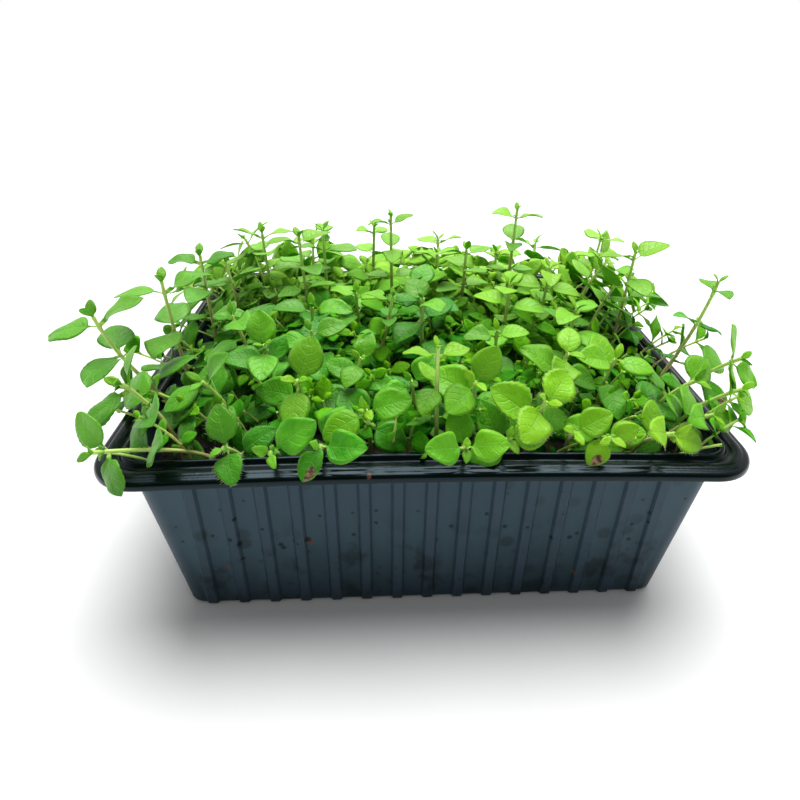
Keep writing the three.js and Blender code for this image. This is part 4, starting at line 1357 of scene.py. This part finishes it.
def make_growing_tree():
    tree, inputs, target = new_tree(
        "grow a leafy stem", "GeometryNodeTree",
        {"Skeleton": "Geometry", "Fine blank": "Object", "Plain blank": "Object", "Small blank": "Object",
         "Blade thickness": "Float", "Stalk half width": "Float", "Stem sides": "Int",
         "Hair density": "Float", "Hair length": "Float", "Seed": "Int",
         "Leaf finish": "Material", "Stem finish": "Material", "Hair finish": "Material"},
        {"Geometry": "Geometry"})
    kind = attribute(tree, "kind")
    copies = []
    for number, name in enumerate(("Fine blank", "Plain blank", "Small blank"), 1):
        blank = add_node(tree, "GeometryNodeObjectInfo", {"Object": inputs[name]}).beside("Geometry")
        chosen = (kind - number).math("ABSOLUTE") < 0.5
        copies.append(add_node(tree, "GeometryNodeInstanceOnPoints",
                               {"Points": inputs["Skeleton"], "Selection": chosen, "Instance": blank}))
    flat = add_node(tree, "GeometryNodeRealizeInstances", {"Geometry": joined(tree, *copies)})
    formula = leaf_formula(tree, inputs["Blade thickness"], inputs["Stalk half width"])
    leaves = add_node(tree, "GeometryNodeSetPosition", {"Geometry": flat, "Position": formula})
    paths = add_node(tree, "GeometryNodeMeshToCurve", {"Mesh": inputs["Skeleton"]})
    section = add_node(tree, "GeometryNodeCurvePrimitiveCircle",
                       {"Resolution": inputs["Stem sides"], "Radius": 1.0})
    tube = add_node(tree, "GeometryNodeCurveToMesh",
                    {"Curve": paths, "Profile Curve": section, "Scale": attribute(tree, "thickness"),
                     "Fill Caps": True})
    fuzz = hairs_and_bristles(tree, inputs, tube, leaves)
    finished = [add_node(tree, "GeometryNodeSetMaterial", {"Geometry": shape, "Material": inputs[finish]})
                for shape, finish in ((leaves, "Leaf finish"), (tube, "Stem finish"), (fuzz, "Hair finish"))]
    whole = add_node(tree, "GeometryNodeRealizeInstances", {"Geometry": joined(tree, *finished)})
    plug(whole, target.inputs["Geometry"])
    return tree


growing_tree = make_growing_tree()
print("growing tree nodes:", len(growing_tree.nodes))

# %% [markdown]
# A skeleton is the least that says where a plant is: the middle line of its stem, and one loose point for
# each leaf with all that the growing tree has to know of it. One mesh can hold many plants.

# %% Skeletons
STEM_STEPS = 22
STEM_SLIM = 0.8
NODE_SWELL = 0.35
NODE_SPREAD = 0.7


def stem_line(shoot):
    """The middle line of a stem from below the soil to its tip, with its radius and share of the height."""
    shares = np.linspace(0, 1, STEM_STEPS + 1)
    line = np.vstack([shoot.root - STEM_DEPTH * UPWARD, *[shoot.point(share) for share in shares]])
    shares = np.concatenate([[0], shares])
    below = (1 - shares) * shoot.reach
    radius = (STEM_RADIUS_LOW + (STEM_RADIUS_TOP - STEM_RADIUS_LOW) * shares) * STEM_SLIM * shoot.slim
    for pair in range(shoot.pairs):
        node = LEAF_PAIRS[pair]["below"] * shoot.pace
        radius = radius * (1 + NODE_SWELL * np.exp(-((below - node) / NODE_SPREAD) ** 2))
    return line, radius, shares


def make_skeleton(name, plants):
    """One mesh for several plants, each a pair of a shoot and its leaves."""
    points, edges, leaves = [], [], []
    thickness, share, blush = [], [], []
    for shoot, shoot_leaves in plants:
        line, radius, shares = stem_line(shoot)
        first = len(points)
        points.extend(line)
        edges.extend((first + i, first + i + 1) for i in range(len(line) - 1))
        thickness.extend(radius * MM)
        share.extend(shares)
        blush.extend([shoot.blush] * len(line))
        leaves.extend(shoot_leaves)
    stems = len(points)
    points.extend(leaf["root"] for leaf in leaves)
    mesh = bpy.data.meshes.new(name)
    mesh.from_pydata((np.array(points) * MM).tolist(), edges, [])
    pad = np.zeros(len(leaves))
    for attribute_name, values in (("thickness", thickness), ("share", share), ("blush", blush)):
        set_attribute(mesh, attribute_name, np.concatenate([values, pad]))
    for measure in LEAF_MEASURES:
        scale = MM if measure in ("length", "width") else 1
        set_attribute(mesh, measure, [0] * stems + [leaf[measure] * scale for leaf in leaves])
    for vector, key, scale in zip(LEAF_VECTORS, ("root", "along", "across", "up"), (MM, 1, 1, 1)):
        values = np.zeros((len(points), 3))
        values[stems:] = np.array([leaf[key] for leaf in leaves]) * scale
        set_attribute(mesh, vector, values)
    piece = bpy.data.objects.new(name, mesh)
    scene.collection.objects.link(piece)
    return piece


def grow(name, plants, finish, hair_density, hair_length, seed, sides=8):
    skeleton = make_skeleton(name + "_skeleton", plants)
    return grown(skeleton, growing_tree,
                 {**{kind.capitalize() + " blank": blank for kind, blank in blanks.items()},
                  "Blade thickness": LEAF_THICK * MM, "Stalk half width": STALK_HALF_WIDTH * MM,
                  "Stem sides": sides, "Hair density": hair_density, "Hair length": hair_length * MM,
                  "Seed": seed,
                  "Leaf finish": finish, "Stem finish": stem_skin, "Hair finish": hair_white}, name)


# %% [markdown]
# Dressing the main shoots: each keeps every leaf of its solid, in the finer form, and gains what the solid
# leaves out: small leaves in the axils and a lower pair or two on the stem.

# %% Main shoots

# The leaf of a shoot with a scorched edge, and the shoots whose leaves are toothed, bristly or yellower
SCORCHED = {8: 2, 22: 2, 45: 4}
TOOTHED = {3, 4, 16, 28}
BRISTLY = {6, 20, 23}
YELLOWER = {9, 16, 20, 21, 22, 23, 27, 31, 33, 34}
TOOTH_BRISTLY = 0.04
TOOTH_TOOTHED = 0.025
TOOTH_PLAIN = 0.01
FINE, PLAIN, SMALL = 1, 2, 3
FINE_FROM = 6.5
TIP_LEAF_SLIM = 0.72
YOUTH_OF_PAIR = [0.45, 0.22, 0.08, 0.0, 0.0]
YOUTH_SPREAD = 0.3
YELLOWER_BY = 0.25
EXTRA_TURN = (-15, 15)
EXTRA_TILT = (-10, 10)
EXTRA_SIZE = (0.85, 1.15)
AXIL_CHANCE = 0.2
AXIL_SHARE = 0.17
AXIL_OPEN = 42
AXIL_SPLAY = 38
AXIL_ABOVE = 0.6
AXIL_YOUTH = 0.3
LOWER_STEPS = (8.5, 16)
LOWER_SHARE = 0.78
LOWER_OPEN = 76
LOWEST_OVER_SOIL = 3
HAIRS_PER_SQUARE_METRE = 1.6e6
HAIR_LENGTH = 0.6


def finish_leaf(leaf, shoot, key, youth, kind):
    """Adds to a leaf what its finish and its blank need to know."""
    number = shoot.number
    drift = YOUTH_SPREAD * (draw(number, key, YOUTH_USE) - 0.5)
    leaf["tooth"] = TOOTH_TOOTHED if number in TOOTHED else TOOTH_PLAIN
    if number in BRISTLY:
        leaf["tooth"] = TOOTH_BRISTLY
    leaf["youth"] = min(1, max(0, youth + drift + shoot.yellow))
    leaf["tint"] = draw(number, key, TINT_USE)
    leaf["scorch"] = 0
    leaf["kind"] = kind
    return leaf


def extra_leaf(shoot, below, around, opening, blade, key):
    """A leaf that the solid doesn't have, on the same stem."""
    around += drawn(EXTRA_TURN, shoot.number, key, 0)
    opening += drawn(EXTRA_TILT, shoot.number, key, 1)
    return leaf_at(shoot, below, around, opening, blade * drawn(EXTRA_SIZE, shoot.number, key, 4), key)


BOX_LOW, BOX_HIGH = (np.array(corner) / MM for corner in cad_box)
BOX_MARGIN = 2.5
SOIL_CLEAR = 1.0
WALL_CLEAR = 1.8
RIM_CLEAR = 3.5
WIDEST_AT = 0.6


def stands_free(leaf):
    """Inside the solids' box, above the soil, and over the rim wherever it reaches past the inner wall."""
    side = leaf["width"] * 0.5
    for point in (leaf_tip(leaf), leaf["root"] + leaf["along"] * leaf["length"] * WIDEST_AT):
        if np.any(point < BOX_LOW + BOX_MARGIN) or np.any(point > BOX_HIGH - BOX_MARGIN):
            return False
        if point[2] < soil_height(point[0], point[1]) + SOIL_CLEAR:
            return False
        past_x = abs(point[0]) + side - (RIM_LENGTH / 2 - FLANGE_WIDTH - WALL_CLEAR)
        past_y = abs(point[1]) + side - (RIM_WIDTH / 2 - FLANGE_WIDTH - WALL_CLEAR)
        if max(past_x, past_y) > 0 and point[2] < RIM_HEIGHT + RIM_CLEAR:
            return False
    return True


YELLOW_TO_BACK = 0.9
YELLOW_TO_RIGHT = 0.5
YELLOW_TO_LEFT = 0.2
YELLOW_SPREAD = 0.35
YELLOW_MIDDLE = 0.6


def yellowness(shoot):
    """Plants at the back and on the right are painted yellower, as painted light, with a random tone on top.
    """
    x, y = shoot.root[0] / RIM_LENGTH, shoot.root[1] / RIM_WIDTH
    by_place = YELLOW_TO_BACK * max(0, y) + YELLOW_TO_RIGHT * max(0, x) + YELLOW_TO_LEFT * min(0, x)
    return YELLOW_SPREAD * (draw(shoot.number, 8, YELLOW_USE) - YELLOW_MIDDLE) + by_place


# Each leaf has its own key, so that its draws are its own: leaves of the solid from 0, buds from 20, lower
# leaves from 60. The twins of a bud stand 100 below and above its key.
BUD_KEY = 20
LOWER_KEY = 60
TWIN_KEY = 100


def axil_leaves(shoot, pair, side):
    """Two small leaves that sprout over a leaf's root, on some leaves only."""
    key = BUD_KEY + pair * 2 + side
    if draw(shoot.number, key, AXIL_USE) > AXIL_CHANCE:
        return []
    below = LEAF_PAIRS[pair]["below"] * shoot.pace - AXIL_ABOVE
    twins = [extra_leaf(shoot, below, leaf_turn(shoot, pair, side) + AXIL_SPLAY * twin, AXIL_OPEN,
                        shoot.size * AXIL_SHARE, key + TWIN_KEY * twin) for twin in (-1, 1)]
    return [finish_leaf(twin, shoot, key + 10, AXIL_YOUTH, SMALL) for twin in twins if stands_free(twin)]


def lower_leaves(shoot):
    """Pairs on the stem below those of the solid, as far down as the stem reaches."""
    leaves = []
    lowest = LEAF_PAIRS[shoot.pairs - 1]["below"] * shoot.pace
    for number, step in enumerate(LOWER_STEPS):
        if lowest + step > shoot.reach - LOWEST_OVER_SOIL:
            continue
        for side in (0, 1):
            key = LOWER_KEY + number * 2 + side
            around = leaf_turn(shoot, shoot.pairs + number, side)
            leaf = extra_leaf(shoot, lowest + step, around, LOWER_OPEN, shoot.size * LOWER_SHARE, key)
            if stands_free(leaf):
                leaves.append(finish_leaf(leaf, shoot, key, 0.0, PLAIN))
    return leaves


def dress(shoot):
    """All leaves of a main shoot: those of its solid, then the small and the lower ones."""
    leaves = []
    for leaf in leaves_of[shoot.number]:
        kind = FINE if leaf["length"] > FINE_FROM else PLAIN
        if leaf["pair"] == 0:
            leaf["width"] *= TIP_LEAF_SLIM
        leaves.append(finish_leaf(leaf, shoot, leaf["key"], YOUTH_OF_PAIR[leaf["pair"]], kind))
        if SCORCHED.get(shoot.number) == leaf["key"]:
            leaf["scorch"] = 1
    for pair in range(1, shoot.pairs):
        for side in (0, 1):
            leaves += axil_leaves(shoot, pair, side)
    return leaves + lower_leaves(shoot)


leafy_shoots = []
for shoot in shoots:
    shoot.blush = draw(shoot.number, 7, BLUSH_USE)
    shoot.yellow = yellowness(shoot) + (YELLOWER_BY if shoot.number in YELLOWER else 0)
    node = node_name(shoot)
    piece = grow("leafy_" + node, [(shoot, dress(shoot))], leaf_green, HAIRS_PER_SQUARE_METRE, HAIR_LENGTH,
                 shoot.number)
    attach(piece, "root")
    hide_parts(node)
    leafy_shoots.append(piece)
print("leafy shoots:", sum(triangles(piece) for piece in leafy_shoots), "triangles")

# %% [markdown]
# Between the main shoots the tray is packed with younger ones, which hide the soil. They follow the same
# rule with their own draws, each root at the loneliest of a few random places, and a leaf that would cut
# the soil or the wall is left off. They are joined in patches, one mesh for each.

# %% Undergrowth
YOUNG_SHOOTS = 260
YOUNG_PLACES = 14
YOUNG_REACH = (82, 70)
YOUNG_NUMBER = 1000
YOUNG_PAIRS = [{"below": 0.5, "share": 0.45, "open": 34}, {"below": 2.4, "share": 0.85, "open": 58},
               {"below": 7.5, "share": 1.0, "open": 64}, {"below": 13.0, "share": 0.9, "open": 70},
               {"below": 18.5, "share": 0.8, "open": 76}]
YOUNG_STEM_PAIRS = 4
YOUNG_TILT = (-16, 16)
YOUNG_TO_FRONT = 0.5
YOUNG_STEM_SLIM = 0.64
YOUNG_SPREAD = 1.06
YOUNG_SIDE_SPREAD = 0.12
YOUNG_DRIFT = 9
YOUNG_DROP = 14
YOUNG_SMALLEST = 5.5
YOUNG_SIZE_RANGE = 7
YOUNG_BACK_GROWTH = 5
BACK_FROM = 0.3
YOUNGER_BY = 0.1
YOUNG_OVER_SOIL = 2
CANOPY_HEIGHT = 68
CANOPY_FRONT = -75
CANOPY_SINK = 0.02
CANOPY_SWELL = 2.5
CANOPY_WAVES = 0.05
CANOPY_SIDES = 5
PATCHES = (4, 3)
YOUNG_HAIRS_PER_SQUARE_METRE = 2e5
YOUNG_HAIR_LENGTH = 0.5
YOUNG_STEM_SIDES = 6


def canopy_height(x, y):
    """The height of the young leaf roof, which hides the side rims and sinks a little behind."""
    swell = CANOPY_SWELL * math.cos(CANOPY_WAVES * x)
    sides = CANOPY_SIDES * (x / YOUNG_REACH[0]) ** 2
    return CANOPY_HEIGHT - CANOPY_SINK * (y - CANOPY_FRONT) + swell + sides


def young_root(number, roots):
    """The one of a few random places that is furthest from all roots."""
    places = [[reach * (2 * draw(number, place, use) - 1) for use, reach in enumerate(YOUNG_REACH, 20)]
              for place in range(YOUNG_PLACES)]
    gaps = np.min(np.linalg.norm(np.array(places)[:, None] - np.array(roots)[None], axis=2), axis=1)
    return tuple(places[int(np.argmax(gaps))])


def young_shoot(number, x, y):
    tip_x = x * (YOUNG_SPREAD + YOUNG_SIDE_SPREAD * (x / YOUNG_REACH[0]) ** 2)
    tip_x += YOUNG_DRIFT * (draw(number, 1, 22) - 0.5)
    tip_y = y * YOUNG_SPREAD + YOUNG_DRIFT * (draw(number, 1, 23) - 0.5)
    tip_z = canopy_height(x, y) + YOUNG_DROP * (draw(number, 1, 24) - 0.7)
    to_back = y / YOUNG_REACH[1] + BACK_FROM
    size = YOUNG_SMALLEST + YOUNG_SIZE_RANGE * draw(number, 1, 25) + YOUNG_BACK_GROWTH * to_back
    young = Shoot(number, [x, y, tip_x, tip_y, tip_z, 180 * draw(number, 1, 26), size, YOUNG_STEM_PAIRS, 1])
    young.blush = draw(number, 7, BLUSH_USE)
    young.slim = YOUNG_STEM_SLIM
    young.to_front = YOUNG_TO_FRONT * max(0, to_back)
    young.yellow = yellowness(young)
    return young


def young_shoots():
    roots = [tuple(shoot.root[:2]) for shoot in shoots]
    found = []
    for number in range(YOUNG_NUMBER, YOUNG_NUMBER + YOUNG_SHOOTS):
        root = young_root(number, roots)
        roots.append(root)
        found.append(young_shoot(number, *root))
    return found


def young_leaves(young):
    leaves = []
    for pair, measures in enumerate(YOUNG_PAIRS):
        if measures["below"] > young.reach - YOUNG_OVER_SOIL:
            break
        for side in (0, 1):
            key = pair * 2 + side
            opening = measures["open"] + drawn(YOUNG_TILT, young.number, key, 27)
            leaf = extra_leaf(young, measures["below"], leaf_turn(young, pair, side), opening,
                              young.size * measures["share"], key)
            if stands_free(leaf):
                youth = YOUTH_OF_PAIR[pair] - YOUNGER_BY
                leaves.append(finish_leaf(leaf, young, key, youth, PLAIN if pair else SMALL))
    return leaves


def patch_of(root):
    """The number of the patch of the tray that a root stands in."""
    column, row = (min(count - 1, int((place + size / 2) / size * count))
                   for count, place, size in zip(PATCHES, root, (RIM_LENGTH, RIM_WIDTH)))
    return row * PATCHES[0] + column


patches = {}
for young in young_shoots():
    patches.setdefault(patch_of(young.root), []).append((young, young_leaves(young)))
undergrowth = []
for number, plants in sorted(patches.items()):
    piece = grow(f"undergrowth_{number + 1:02d}", plants, young_leaf_green, YOUNG_HAIRS_PER_SQUARE_METRE,
                 YOUNG_HAIR_LENGTH, number, YOUNG_STEM_SIDES)
    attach(piece, "root")
    undergrowth.append(piece)
print("undergrowth:", sum(triangles(piece) for piece in undergrowth), "triangles in",
      len(undergrowth), "patches")

for blank in blanks.values():
    bpy.data.objects.remove(blank)
